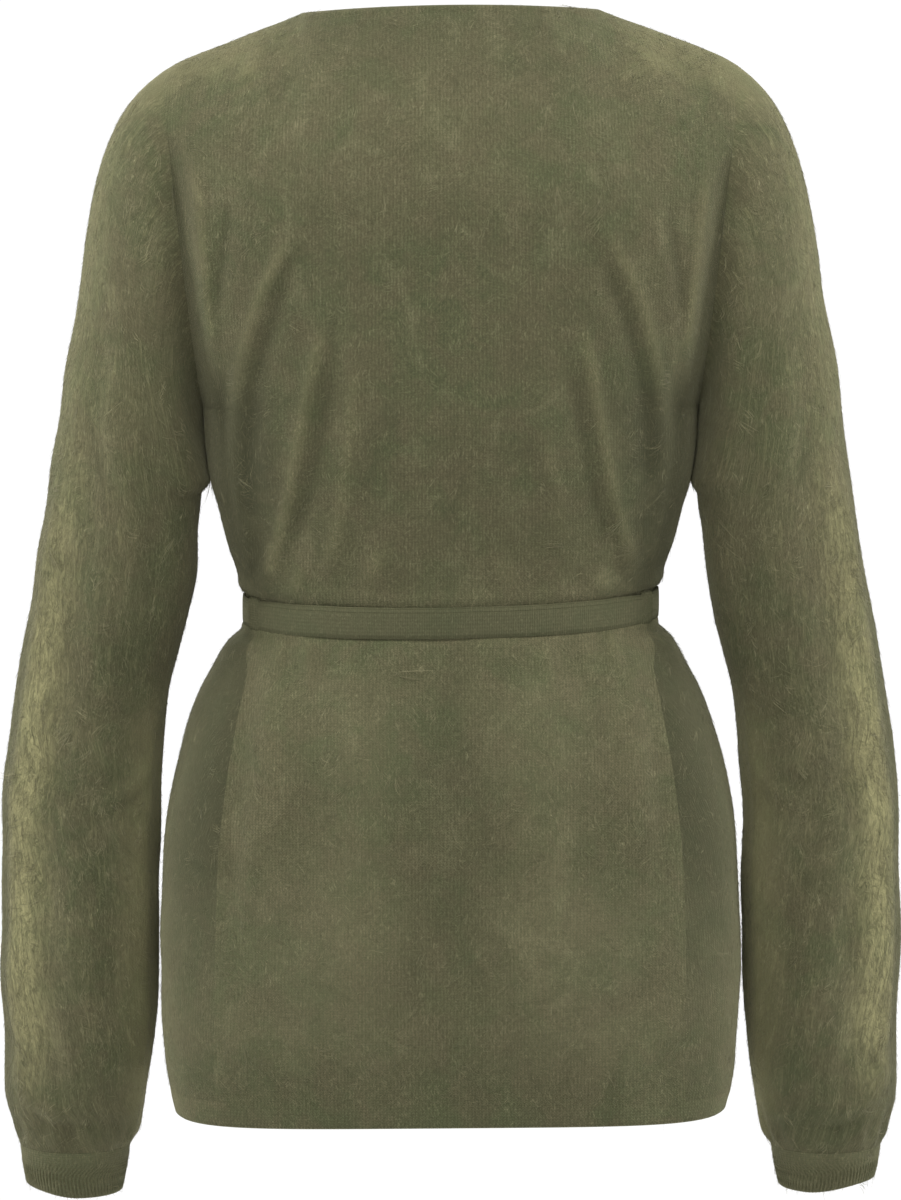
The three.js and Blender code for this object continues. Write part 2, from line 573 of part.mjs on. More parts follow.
// free ends of the belt, hanging on the front
const END_LEFT = [
  { h:    0, x: 32, turn:   4, off: 2.0 }, { h:  -40, x: 36, turn:   8, off: 3.6 },
  { h:  -90, x: 41, turn:   4, off: 3.2 }, { h: -150, x: 45, turn: -12, off: 5.0 },
  { h: -210, x: 47, turn: -20, off: 6.0 }, { h: -262, x: 46, turn: -8, off: 4.4 },
];
const END_RIGHT = [
  { h:    0, x:  9, turn:  -5, off: 2.0 }, { h:  -40, x:  6, turn:  -6, off: 3.6 },
  { h:  -90, x:  3, turn:   6, off: 3.4 }, { h: -140, x:  1, turn:  16, off: 5.4 },
  { h: -190, x:  0, turn:  14, off: 5.0 }, { h: -236, x:  1, turn:   4, off: 3.6 },
];
function beltEnd(table) {
  const deepest = table[table.length - 1].h;
  const rows = [];
  for (let i = 0; i <= CUT.endRows; i += 1) {
    const h = (deepest * i) / CUT.endRows;
    const z = ENDS.top + h;
    const x = read(table, 'x', h, 'h');
    const turn = rad(read(table, 'turn', h, 'h'));
    const off = read(table, 'off', h, 'h');
    const half = read(BODY, 'half', z);
    const square = read(BODY, 'square', z);
    const y = -read(BODY, 'front', z) * (1 - (Math.abs(x) / half) ** square) ** (1 / square);
    rows.push([-1, 0, 1].map((w) => ({
      p: [x + w * 0.5 * ENDS.width * Math.cos(turn), y - off - ENDS.thick + w * 0.5 * ENDS.width * Math.sin(turn), z],
      n: unit([Math.sin(turn), -Math.cos(turn), 0]),
    })));
  }
  return rows;
}

// ------------------------------------------------------------------ object
const COLOR = { cloth: 0x69684f, rib: 0x58583f, belt: 0x5c5c43 };
const cardigan = new THREE.Group();
cardigan.name = 'cardigan';
const body = new THREE.Group();
body.name = 'body_pieces';
body.add(
  cloth('back', backPanel(), COLOR.cloth),
  cloth('front_left', frontPanel(true, false), COLOR.cloth),
  cloth('front_right', frontPanel(false, true), COLOR.cloth),
  cloth('hem_back', hemBand('back'), COLOR.rib),
  cloth('hem_front_left', hemBand('inner'), COLOR.rib),
  cloth('hem_front_right', hemBand('outer'), COLOR.rib),
);
const arms = new THREE.Group();
arms.name = 'sleeve_pieces';
arms.add(
  cloth('sleeve_left', sleeve(false), COLOR.cloth, { wrap: true }),
  cloth('sleeve_right', sleeve(true), COLOR.cloth, { wrap: true }),
  cloth('cuff_left', cuff(false), COLOR.rib, { wrap: true }),
  cloth('cuff_right', cuff(true), COLOR.rib, { wrap: true }),
);
const tie = new THREE.Group();
tie.name = 'belt_pieces';
tie.add(
  cloth('belt', beltRing(), COLOR.belt, { wrap: true, wall: BELT.thick }),
  cloth('belt_loop_left', beltLoop(false), COLOR.rib, { wall: LOOP.thick }),
  cloth('belt_loop_right', beltLoop(true), COLOR.rib, { wall: LOOP.thick }),
  knot(),
  cloth('belt_end_left', beltEnd(END_LEFT), COLOR.belt, { wall: ENDS.thick }),
  cloth('belt_end_right', beltEnd(END_RIGHT), COLOR.belt, { wall: ENDS.thick }),
);
cardigan.add(body, arms, tie);

export default cardigan;
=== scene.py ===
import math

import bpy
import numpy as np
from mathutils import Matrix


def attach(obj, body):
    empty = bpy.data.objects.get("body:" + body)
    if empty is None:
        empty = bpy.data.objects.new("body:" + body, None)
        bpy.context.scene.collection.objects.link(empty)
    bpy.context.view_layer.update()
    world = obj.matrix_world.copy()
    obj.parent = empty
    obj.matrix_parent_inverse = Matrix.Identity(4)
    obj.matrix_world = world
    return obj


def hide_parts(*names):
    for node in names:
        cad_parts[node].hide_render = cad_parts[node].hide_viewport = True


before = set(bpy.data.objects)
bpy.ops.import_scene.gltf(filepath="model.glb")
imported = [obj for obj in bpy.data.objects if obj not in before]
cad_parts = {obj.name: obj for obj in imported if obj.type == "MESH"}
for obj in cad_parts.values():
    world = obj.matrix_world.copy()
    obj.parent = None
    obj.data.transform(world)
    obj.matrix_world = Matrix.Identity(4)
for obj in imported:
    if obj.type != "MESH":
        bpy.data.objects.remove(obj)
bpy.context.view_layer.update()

# Belted wrap cardigan in brushed fine-gauge cashmere, filled out as worn.
# Sizes are in millimetres in the tables and metres in the meshes; +Z up, the
# front faces -Y, +X is the wearer's left.

MM = 0.001

# ------------------------------------------------------------------ camera
TARGET = (0.0, 0.0, -0.365)
DISTANCE, LOOK_DOWN = 3.2, math.radians(6.0)
cam_data = bpy.data.cameras.new("Camera")
cam_data.sensor_fit = "AUTO"
cam_data.sensor_width = 36.0
cam_data.lens = 150.0
cam_data.clip_start, cam_data.clip_end = 0.05, 60.0
cam = bpy.data.objects.new("Camera", cam_data)
cam.location = (0.0, DISTANCE * math.cos(LOOK_DOWN), TARGET[2] + DISTANCE * math.sin(LOOK_DOWN))
cam.rotation_euler = (math.pi / 2 - LOOK_DOWN, 0.0, math.pi)
bpy.context.scene.collection.objects.link(cam)
bpy.context.scene.camera = cam

# ------------------------------------------------------------------- sizes
WALL = 2.0
LIE = 1.0
ARM_TOP = (181.5, -26.5)
ARM_LOW = (157.6, -240.0)
ARM_DEPTH = 61.0
NECK_X, NECK_Z, NECK_RISE, NECK_BACK, NECK_SIDE = 94.0, 9.0, 3.5, 48.0, 4.0
SHOULDER_ROUND = 132.0
HEM_TOP, HEM_LOW = -671.0, -686.0
LEAN = 0.012
BELT_Z, BELT_TILT, BELT_BOW, BELT_HIGH, BELT_THICK = -370.3, -0.018, 2.2 / 120 ** 2, 20.0, 2.6
LOOP_DEG, LOOP_WIDE, LOOP_HIGH, LOOP_THICK = 20.0, 13.0, 28.0, 1.4
KNOT_X, KNOT_WIDE, KNOT_HIGH, KNOT_DEEP = 20.0, 34.0, 30.0, 17.0
END_WIDE, END_THICK, END_TOP = 20.0, 2.6, -388.0
WALE, COURSE = 2.2, 1.65      # one knitted column and one knitted row
RIB = 2.9                     # one rib of the cuffs

# z, half width, depth of the back, depth of the front, squareness, side seam
BODY = np.array([
    (20, 150, 96, 82, 2.40, 0), (0, 160, 100, 85, 2.40, 0), (-60, 185, 109, 94, 2.40, 0),
    (-120, 185, 114, 106, 2.40, 0), (-180, 170, 113, 118, 2.40, 0), (-240, 157.6, 109, 123, 2.40, 0),
    (-262, 156.5, 106, 121, 2.40, 2), (-290, 152.4, 101, 114, 2.38, 6), (-301, 149.0, 99, 110, 2.36, 8),
    (-326, 143.0, 93, 101, 2.34, 12), (-341, 138.2, 90, 96, 2.32, 15), (-351, 134.7, 88, 93, 2.31, 17),
    (-359, 130.4, 87, 91, 2.30, 18), (-381, 130.4, 87, 91, 2.30, 22), (-391, 142.0, 93, 95, 2.36, 27),
    (-404, 150.3, 98, 99, 2.45, 35), (-430, 163.4, 108, 104, 2.60, 40), (-468, 174.7, 117, 108, 2.80, 43),
    (-520, 183.0, 121, 111, 3.00, 45), (-580, 185.4, 121, 112, 3.15, 46), (-625, 185.2, 119, 111, 3.40, 47),
    (-656, 182.6, 115, 109, 3.80, 48), (-686, 176.4, 112, 106, 4.50, 49),
], float)
# x, z of the shoulder line
SHOULDER = np.array([
    (94.0, 9.0), (106.0, 4.2), (122.0, -1.6), (141.0, -9.0), (160.0, -16.2), (173.0, -21.6), (181.5, -26.5),
], float)
# z, x of the free edge of a front
FRONT_EDGE = np.array([
    (9, 94), (-40, 79), (-100, 56), (-160, 29), (-220, 0), (-300, -36), (-366, -58), (-450, -64), (-560, -66), (-700, -66),
], float)
# outer x, outer z, inner x, inner z, middle y, half depth
SLEEVE = np.array([
    (181.5, -26.5, 157.6, -240.0, 0, 61.0), (191.0, -34.0, 158.5, -243.5, 0, 62.0), (201.5, -45.0, 158.6, -248.0, 0, 62.0),
    (212.0, -62.0, 158.4, -255.0, 0, 61.2), (224.0, -95.0, 157.9, -265.0, -1, 59.5), (231.0, -131.0, 157.3, -276.0, -1, 57.5),
    (238.0, -175.0, 156.8, -288.0, -2, 56.0), (246.0, -220.0, 158.0, -301.0, -2, 55.0), (252.4, -264.0, 160.3, -319.0, -3, 54.0),
    (259.8, -309.0, 162.0, -343.0, -4, 53.0), (266.8, -352.0, 167.2, -371.0, -6, 52.0), (273.6, -389.0, 174.8, -400.0, -8, 50.5),
    (279.5, -423.0, 181.6, -427.0, -10, 49.5), (284.7, -458.0, 186.0, -459.0, -12, 49.0), (289.8, -515.0, 187.6, -515.0, -15, 49.0),
    (291.6, -590.0, 189.0, -590.0, -18, 48.8), (290.2, -648.0, 192.2, -648.0, -20, 47.5), (288.9, -688.0, 197.6, -688.0, -21, 45.5),
    (284.0, -708.0, 201.8, -708.0, -22, 41.0), (280.5, -721.7, 208.5, -722.7, -22, 35.5),
], float)
CUFF = np.array([
    (280.2, -722.0, 208.8, -723.0, -22, 35.2), (276.5, -752.0, 214.0, -752.5, -22, 31.5),
], float)
# h, x, turn in degrees, distance off the cloth
END_LEFT = np.array([
    (0, 32, 4, 2.0), (-40, 36, 8, 3.6), (-90, 41, 4, 3.2), (-150, 45, -12, 5.0), (-210, 47, -20, 6.0), (-262, 46, -8, 4.4),
], float)
END_RIGHT = np.array([
    (0, 9, -5, 2.0), (-40, 6, -6, 3.6), (-90, 3, 6, 3.4), (-140, 1, 16, 5.4), (-190, 0, 14, 5.0), (-236, 1, 4, 3.6),
], float)

# --------------------------------------------------------------- folds, mm
# Each fold is a line of (x, z) points, its height (a trough is negative), its
# width on the near and the far side of the line, and how far its ends fade.
# Those of the back are pushed along +Y, so they run over the armhole seams.
BACK_FOLDS = [
    # armhole creases, deepening towards the underarm
    ([(177, -76), (173, -108), (169.5, -140), (166, -170), (161, -214), (155, -262), (151, -290)], -5.6, 9, 10, 64),
    ([(-177, -82), (-173, -112), (-169, -142), (-165.5, -172), (-161, -216), (-155, -262), (-151, -290)], -5.6, 10, 9, 64),
    # lit wedges just inside the creases
    ([(160, -84), (157, -112), (154, -146), (151, -180), (149, -206)], 2.1, 5, 4.5, 40),
    ([(-160, -88), (-157, -116), (-153, -150), (-150, -182), (-148, -208)], 2.1, 4.5, 5, 40),
    # grooves on their inner side
    ([(136, -104), (139, -130), (143, -156), (145, -182)], -1.7, 5, 4, 36),
    ([(-135, -106), (-138, -132), (-142, -158), (-144, -182)], -1.7, 4, 5, 36),
    # long ridges from the shoulder blades to the waist
    ([(98, -126), (106, -142), (119, -169), (126, -189), (132, -215), (135, -238), (135.5, -270), (133, -305), (127, -338)], 1.9, 7, 3.8, 44),
    ([(-95, -122), (-104, -140), (-117, -166), (-124, -188), (-129.5, -214), (-133, -240), (-134, -272), (-132, -304), (-127, -336)], 1.8, 3.8, 7, 44),
    ([(80, -186), (85, -205), (90, -234), (95, -257), (100.5, -290), (106, -310), (113, -332), (120, -354)], 2.1, 7.5, 3.6, 40),
    ([(-82, -184), (-87, -206), (-91, -235), (-96, -262), (-102, -292), (-108, -314), (-115, -336), (-121, -355)], 2.0, 3.6, 7.5, 40),
    # the hollows beside them
    ([(94, -140), (106, -168), (115, -196), (121, -226), (124, -258), (124, -292)], -1.7, 7, 5, 44),
    ([(-92, -138), (-104, -166), (-113, -194), (-119, -224), (-122, -258), (-122, -292)], -1.7, 5, 7, 44),
    ([(74, -206), (80, -238), (86, -268), (92, -298), (102, -330)], -1.7, 8, 5, 40),
    ([(-76, -206), (-82, -238), (-88, -268), (-94, -300), (-104, -332)], -1.7, 5, 8, 40),
    ([(140, -206), (142, -236), (143, -262)], -1.3, 5, 5, 30), ([(-139, -206), (-141, -236), (-142, -262)], -1.3, 5, 5, 30),
    # a faint third one and the slack above the belt
    ([(62, -196), (60, -222), (62, -252), (68, -296), (78, -346)], 1.2, 8, 6, 50),
    ([(-56, -232), (-62, -270), (-74, -330)], 1.0, 6, 8, 50),
    ([(38, -318), (48, -336), (56, -352)], 1.2, 8, 8, 24), ([(-24, -326), (-36, -340), (-44, -353)], 1.0, 8, 8, 22),
    ([(90, -334), (96, -346), (101, -356)], 1.4, 5, 5, 20), ([(-88, -336), (-95, -348), (-100, -357)], 1.3, 5, 5, 20),
    # shoulder creases running down from the neck points
    ([(118, -16), (126, -26), (137, -36)], 1.5, 5, 6, 22), ([(-115, -14), (-124, -22), (-137, -33)], 1.4, 6, 5, 22),
    ([(92, -18), (104, -34), (112, -52)], -1.0, 8, 8, 24), ([(-92, -18), (-104, -34), (-112, -52)], -1.0, 8, 8, 24),
    # below the belt: soft upright swells and the pull of the side seams
    ([(58, -392), (56, -450), (54, -540), (58, -610)], 2.0, 22, 24, 90),
    ([(-50, -392), (-52, -450), (-54, -530), (-58, -620)], 2.1, 24, 22, 90),
    ([(6, -396), (4, -470), (2, -540), (0, -600)], -2.4, 19, 19, 100),
    ([(108, -396), (112, -450), (116, -510)], 1.6, 16, 16, 80),
    ([(-104, -396), (-110, -450), (-116, -510)], 1.5, 16, 16, 80),
    ([(123, -388), (126, -430), (131, -470), (136, -520), (139, -565)], -2.4, 7, 10, 60),
    ([(-122, -392), (-127, -436), (-131, -474), (-134, -520)], -2.2, 10, 7, 60),
    # short puckers under the belt
    ([(92, -382), (90, -394), (87, -410)], 1.6, 4, 4, 15), ([(78, -383), (77, -394), (76, -404)], -1.0, 4, 4, 12),
    ([(64, -384), (63, -396), (61, -409)], 1.1, 4, 4, 14), ([(34, -384), (33, -393), (31, -404)], 0.8, 4, 4, 12),
    ([(-20, -384), (-21, -394), (-22, -406)], 0.8, 4, 4, 12), ([(-58, -383), (-60, -395), (-62, -408)], 1.1, 4, 4, 14),
    ([(-84, -382), (-86, -394), (-88, -408)], 1.4, 4, 4, 15), ([(-100, -381), (-103, -392), (-106, -404)], 1.4, 4, 4, 14),
    ([(104, -381), (107, -391), (110, -402)], 1.4, 4, 4, 14),
    # hem corners drawn up and in
    ([(152, -606), (134, -630), (108, -646), (82, -652)], 1.3, 10, 10, 55),
    ([(-152, -600), (-134, -626), (-106, -644), (-80, -650)], 1.3, 10, 10, 55),
    ([(128, -592), (108, -612), (88, -622)], -1.2, 9, 9, 40), ([(-128, -588), (-108, -610), (-86, -620)], -1.2, 9, 9, 40),
    # the low end of each side seam has a small pucker
    ([(142, -552), (142, -560)], -1.0, 4, 4, 9), ([(-142, -550), (-142, -558)], -1.0, 4, 4, 9),
]
# Folds of the two fronts, pushed along -Y
FRONT_FOLDS = [
    # pull from the knot, over the chest and round to the sides
    ([(34, -352), (58, -318), (84, -276), (104, -226), (116, -176)], 3.6, 10, 12, 70),
    ([(48, -356), (84, -332), (112, -300), (132, -262)], 3.4, 8, 10, 55),
    ([(60, -362), (98, -352), (126, -334)], 2.2, 5, 6, 36),
    ([(20, -350), (34, -306), (46, -252), (54, -202)], 2.2, 10, 10, 60),
    ([(6, -350), (-18, -314), (-50, -272), (-84, -222), (-108, -170)], 3.8, 11, 10, 70),
    ([(-8, -356), (-46, -334), (-88, -302), (-124, -260)], 3.4, 10, 8, 60),
    ([(-22, -362), (-70, -352), (-112, -336)], 2.4, 6, 5, 40),
    ([(46, -332), (72, -296), (94, -246)], -2.4, 8, 8, 50), ([(-30, -324), (-66, -286), (-98, -236)], -2.4, 8, 8, 50),
    # armhole creases of the front
    ([(169, -82), (164, -122), (160, -168), (156, -226), (151, -280)], -7.0, 9, 11, 70),
    ([(-169, -88), (-164, -126), (-160, -172), (-156, -228), (-151, -280)], -7.0, 11, 9, 70),
    ([(148, -104), (148, -150), (145, -206)], 3.0, 9, 7, 50), ([(-148, -108), (-148, -154), (-145, -204)], 3.0, 7, 9, 50),
    # skirt of the wrap
    ([(70, -388), (78, -450), (84, -540), (86, -640)], 3.0, 14, 18, 90),
    ([(112, -390), (124, -450), (132, -540), (134, -630)], 2.6, 13, 16, 90),
    ([(-34, -390), (-40, -450), (-44, -540), (-40, -640)], 3.2, 14, 14, 90),
    ([(-92, -390), (-104, -450), (-112, -540), (-112, -630)], 3.0, 15, 14, 90),
    ([(94, -392), (102, -460), (108, -560)], -2.4, 12, 12, 80), ([(-66, -392), (-74, -460), (-78, -560)], -2.4, 12, 12, 80),
    ([(38, -388), (40, -404), (44, -428)], 1.6, 5, 5, 20), ([(-6, -386), (-10, -402), (-14, -430)], 1.5, 5, 5, 20),
    ([(-56, -384), (-60, -398), (-64, -418)], 1.5, 5, 5, 18), ([(96, -384), (102, -398), (106, -418)], 1.5, 5, 5, 18),
]
# Folds of a sleeve: (distance round from the outer line, height z) points; the
# back of the arm is positive. The same form is used for both sleeves.
SLEEVE_FOLDS = [
    # pressed line near the outer edge, with a hollow inside it
    ([(33, -290), (34, -360), (35, -430), (36, -520), (36, -600), (34, -690)], 3.0, 9, 9, 80),
    ([(58, -330), (60, -420), (61, -520), (61, -610), (60, -670)], -2.4, 9, 12, 90),
    ([(14, -440), (15, -520), (16, -600), (16, -680)], -1.8, 9, 7, 80),
    # inner pressed line
    ([(128, -430), (130, -510), (130, -600), (128, -680)], 1.8, 8, 6, 80),
    # elbow
    ([(60, -440), (76, -452), (92, -468), (106, -474)], 2.6, 7, 9, 26), ([(52, -470), (70, -480), (86, -500), (98, -512)], -2.0, 7, 8, 26),
    ([(84, -430), (104, -436), (120, -446)], -1.8, 6, 7, 24), ([(96, -492), (112, -484), (126, -470)], 2.0, 6, 7, 26),
    ([(58, -520), (74, -530), (92, -536)], 1.4, 7, 8, 24),
    # long soft swells down the arm
    ([(80, -150), (82, -220), (88, -300), (92, -380)], 2.0, 18, 18, 90), ([(104, -220), (108, -300), (110, -380)], -2.0, 12, 12, 80),
    ([(62, -200), (60, -280), (62, -360)], -1.4, 12, 12, 80), ([(78, -540), (80, -600), (84, -660)], 1.6, 14, 14, 60),
    ([(104, -540), (104, -600), (100, -650)], -1.6, 10, 10, 60),
    # slack above the cuff
    ([(30, -676), (52, -690), (76, -694)], 2.6, 6, 8, 26), ([(84, -690), (106, -698), (126, -690)], 2.2, 6, 7, 24),
    ([(40, -700), (62, -706), (84, -704)], -1.8, 5, 5, 20), ([(20, -650), (44, -664), (62, -668)], -1.6, 7, 7, 26),
    # the same kinds on the front of the arm
    ([(-30, -300), (-31, -400), (-32, -520), (-32, -670)], 2.0, 8, 7, 80), ([(-54, -320), (-56, -440), (-56, -600)], -1.8, 11, 11, 90),
    ([(-64, -430), (-84, -446), (-104, -452), (-122, -444)], 3.0, 7, 8, 26), ([(-60, -460), (-82, -474), (-104, -482)], -2.2, 7, 8, 26),
    ([(-70, -400), (-90, -412), (-112, -414)], -2.0, 7, 7, 26), ([(-76, -498), (-96, -504), (-118, -496)], 2.0, 7, 8, 26),
    ([(-84, -170), (-88, -260), (-92, -350)], 2.0, 16, 16, 90), ([(-80, -560), (-84, -620), (-88, -670)], 1.6, 13, 13, 60),
    ([(-36, -684), (-60, -694), (-86, -690)], 2.4, 6, 7, 26), ([(-100, -692), (-120, -696), (-134, -688)], 1.8, 6, 6, 22),
]


# ------------------------------------------------------------------ helpers
def soft(t):
    u = np.clip(t, 0.0, 1.0)
    return u * u * (3 - 2 * u)


def unit(a):
    return a / np.maximum(np.linalg.norm(a, axis=-1, keepdims=True), 1e-9)


def read(table, column, at):
    """Smooth value of a table's column, with no overshoot; the first column is the place."""
    rows = table if table[0, 0] < table[-1, 0] else table[::-1]
    x, y = rows[:, 0], rows[:, column]
    s = np.diff(y) / np.diff(x)
    m = np.empty_like(y)
    m[0], m[-1] = s[0], s[-1]
    a, b = s[:-1], s[1:]
    ok = a * b > 0
    m[1:-1] = np.where(ok, 2 * a * b / np.where(ok, a + b, 1), 0)
    at = np.asarray(at, float)
    q = np.clip(at, x[0], x[-1])
    i = np.clip(np.searchsorted(x, q, side="right") - 1, 0, len(x) - 2)
    h = x[i + 1] - x[i]
    t = (q - x[i]) / h
    t2, t3 = t * t, t * t * t
    return (2 * t3 - 3 * t2 + 1) * y[i] + (t3 - 2 * t2 + t) * h * m[i] + (3 * t2 - 2 * t3) * y[i + 1] + (t3 - t2) * h * m[i + 1]


def even(line, n):
    run = np.concatenate([[0], np.cumsum(np.linalg.norm(np.diff(line, axis=0), axis=1))])
    want = np.linspace(0, run[-1], n + 1)
    return np.stack([np.interp(want, run, line[:, c]) for c in range(3)], axis=1)


def fold_sum(folds, a, b):
    """Height of all the folds at places (a, b)."""
    out = np.zeros(np.shape(a))
    for points, high, near, far, fade in folds:
        pts = np.array(points, float)
        best = np.full(np.shape(a), 1e9)
        side = np.zeros(np.shape(a))
        along = np.zeros(np.shape(a))
        whole = np.linalg.norm(np.diff(pts, axis=0), axis=1)
        gone = 0.0
        for (p, q), length in zip(zip(pts[:-1], pts[1:]), whole):
            d = (q - p) / length
            u, v = a - p[0], b - p[1]
            t = u * d[0] + v * d[1]
            first, last = gone == 0, abs(gone + length - whole.sum()) < 1e-6
            tc = np.clip(t, -1e9 if first else 0, 1e9 if last else length)
            dx, dz = u - tc * d[0], v - tc * d[1]
            r = np.hypot(dx, dz)
            use = r < best
            best = np.where(use, r, best)
            # positive on the +a side of the line
            side = np.where(use, dx, side)
            along = np.where(use, gone + t, along)
            gone += length
        wide = np.where(side < 0, near, far)
        fade = min(fade, 0.6 * gone + 6)
        ends = soft((along + 0.35 * fade) / fade) * soft((gone + 0.35 * fade - along) / fade)
        out += high * np.exp(-((best / wide) ** 2)) * ends
    return out


def waves(p, seed, low, high, count=18):
    """Smooth noise of a place in millimetres, about -1 to 1; low and high are its wavelengths."""
    rng = np.random.default_rng(seed)
    out = np.zeros(p.shape[:-1])
    for _ in range(count):
        k = unit(rng.normal(size=3)) * 2 * math.pi / rng.uniform(low, high)
        out += np.sin(p @ k + rng.uniform(0, 2 * math.pi))
    return out / math.sqrt(count / 2) * 0.6


# --------------------------------------------------------------- body form
def ring(angle, z):
    half, power = read(BODY, 1, z), 2 / read(BODY, 4, z)
    c, s = np.cos(angle), np.sin(angle)
    deep = np.where(s >= 0, read(BODY, 2, z), read(BODY, 3, z))
    return np.stack([np.sign(c) * half * np.abs(c) ** power, np.sign(s) * deep * np.abs(s) ** power, z + 0 * c], -1)


def ring_normal(angle, z):
    d = ring(angle + 0.02, z) - ring(angle - 0.02, z)
    return unit(np.stack([d[..., 1], -d[..., 0], 0 * d[..., 0]], -1))


def top_height(x, is_back):
    w = np.abs(x)
    rise = NECK_RISE * (1 - np.minimum(w / NECK_X, 1) ** 2) if is_back else 0 * w
    return np.where(w >= NECK_X, read(SHOULDER, 1, w), NECK_Z + rise)


def top_depth(x, is_back):
    w = np.abs(x)
    inner = NECK_SIDE + ((NECK_BACK - NECK_SIDE) * np.sqrt(np.maximum(0, 1 - (w / NECK_X) ** 2)) if is_back else 0 * w)
    return np.where(w >= NECK_X, NECK_SIDE * (ARM_TOP[0] - w) / (ARM_TOP[0] - NECK_X), inner)


def round_off(drop, x):
    return np.sin(math.pi / 2 * np.clip(drop / SHOULDER_ROUND, 0, 1)) ** (0.5 + 0.3 * soft((150 - np.abs(x)) / 150))


def arm_point(turn):
    t = (1 - np.cos(turn)) / 2
    return np.stack([ARM_LOW[0] + (ARM_TOP[0] - ARM_LOW[0]) * t, ARM_DEPTH * np.sin(turn), ARM_LOW[1] + (ARM_TOP[1] - ARM_LOW[1]) * t], -1)


ARM_UP = unit(np.array([ARM_TOP[0] - ARM_LOW[0], 0, ARM_TOP[1] - ARM_LOW[1]]))
ARM_HALF = math.hypot(ARM_TOP[0] - ARM_LOW[0], ARM_TOP[1] - ARM_LOW[1]) / 2


def arm_normal(turn):
    up, out = -np.cos(turn) / ARM_HALF, np.sin(turn) / ARM_DEPTH
    return unit(np.stack([ARM_UP[0] * up, out, ARM_UP[2] * up], -1))


def upper(x, turn, is_back):
    t = (1 - math.cos(turn)) / 2
    edge = arm_point(turn)
    w = x * ARM_TOP[0] / edge[0]
    top = top_height(w, is_back)
    z = ARM_LOW[1] + (top - ARM_LOW[1]) * t
    square, col = read(BODY, 4, z), 2 if is_back else 3
    edge_round = max(1e-6, float(round_off(ARM_TOP[1] - edge[2], ARM_TOP[0])))
    need = min(0.97, abs(edge[1]) / edge_round / float(read(BODY, col, edge[2])))
    half = edge[0] / (1 - need ** square) ** (1 / square)
    full = read(BODY, col, z) * np.maximum(0, 1 - (np.abs(x) / half) ** square) ** (1 / square)
    g = round_off(top - z, w)
    y_top = top_depth(w, is_back)
    y = y_top + ((full if is_back else -full) - y_top) * g
    return np.stack([x, y, z], -1)


def lean(p):
    x, y, z = p[..., 0], p[..., 1], p[..., 2]
    dz = -LEAN * x * soft((z + 100) / 100) + (BELT_TILT * x + BELT_BOW * x * x) * soft((165 - np.abs(x)) / 25) * np.exp(-(((z - BELT_Z) / 40) ** 2))
    return np.stack([x, y, z + dz], -1)


def pressed(p, inner):
    """The left front lies under the right one."""
    if not inner:
        return p
    d = (WALL + LIE) * soft((112 - p[..., 0]) / 40) * soft((-140 - p[..., 2]) / 70)
    n = np.where(p[..., 1:2] < 0, unit(np.stack([p[..., 0] * 0.35, -100 + 0 * p[..., 0], 0 * p[..., 0]], -1)), np.array([1.0, 0, 0]))
    return p - n * d[..., None]


def grid_normals(p, wrap, toward):
    up = np.concatenate([p[1:], p[-1:]], 0) - np.concatenate([p[:1], p[:-1]], 0)
    if wrap:
        across = np.roll(p, -1, 1) - np.roll(p, 1, 1)
    else:
        across = np.concatenate([p[:, 1:], p[:, -1:]], 1) - np.concatenate([p[:, :1], p[:, :-1]], 1)
    n = unit(np.cross(across, up))
    flip = (n * toward(p)).sum(-1) < 0
    n[flip] *= -1
    return n


def smooth_rows(n, times=1):
    return unit(n)


def fold_heights(p):
    """Height of the folds of the back and front at each place."""
    x, y, z = p[..., 0], p[..., 1], p[..., 2]
    wb = soft((y - 4) / 34)
    wf = soft((-y - 4) / 34)
    keep = 1 - soft((z - BELT_Z + 13) / 4) * soft((BELT_Z + 13 - z) / 4)
    low = soft((z - HEM_LOW + 4) / 26)
    back = fold_sum(BACK_FOLDS, x, z) * wb * 1.5
    front = fold_sum(FRONT_FOLDS, x, z) * wf * 1.3
    return back * keep * (0.35 + 0.65 * low), front * keep * (0.35 + 0.65 * low)


def push_folds(p):
    """Pushes the folds of the back and front in +Y and -Y; they fade towards the sides."""
    back, front = fold_heights(p)
    out = p.copy()
    out[..., 1] += back - front
    return out


def rows_down(top, low, step):
    return np.linspace(low, top, max(2, int(round((top - low) / step)) + 1))


# ------------------------------------------------------------ mesh building
def mesh_from(name, verts, faces, uvs, mats, mat_index=None, smooth=True):
    """uvs is {map name: one (u, v) for each face corner}."""
    me = bpy.data.meshes.new(name)
    flat = np.concatenate([np.asarray(f, np.int32) for f in faces]) if isinstance(faces, list) else faces
    nv = len(verts)
    me.vertices.add(nv)
    me.vertices.foreach_set("co", np.asarray(verts, np.float32).ravel())
    counts = np.full(len(flat), flat.shape[1], np.int32) if flat.ndim == 2 else None
    loops = flat.ravel()
    me.loops.add(len(loops))
    me.loops.foreach_set("vertex_index", loops.astype(np.int32))
    me.polygons.add(len(flat))
    starts = np.arange(0, len(loops), flat.shape[1], dtype=np.int32)
    me.polygons.foreach_set("loop_start", starts)
    me.polygons.foreach_set("loop_total", counts)
    for m in mats:
        me.materials.append(m)
    if mat_index is not None:
        me.polygons.foreach_set("material_index", np.asarray(mat_index, np.int32))
    me.polygons.foreach_set("use_smooth", np.full(len(flat), smooth, bool))
    me.update(calc_edges=True)
    for key, uv in uvs.items():
        layer = me.uv_layers.new(name=key)
        layer.data.foreach_set("uv", np.asarray(uv, np.float32).ravel())
    me.validate()
    ob = bpy.data.objects.new(name, me)
    bpy.context.scene.collection.objects.link(ob)
    return ob


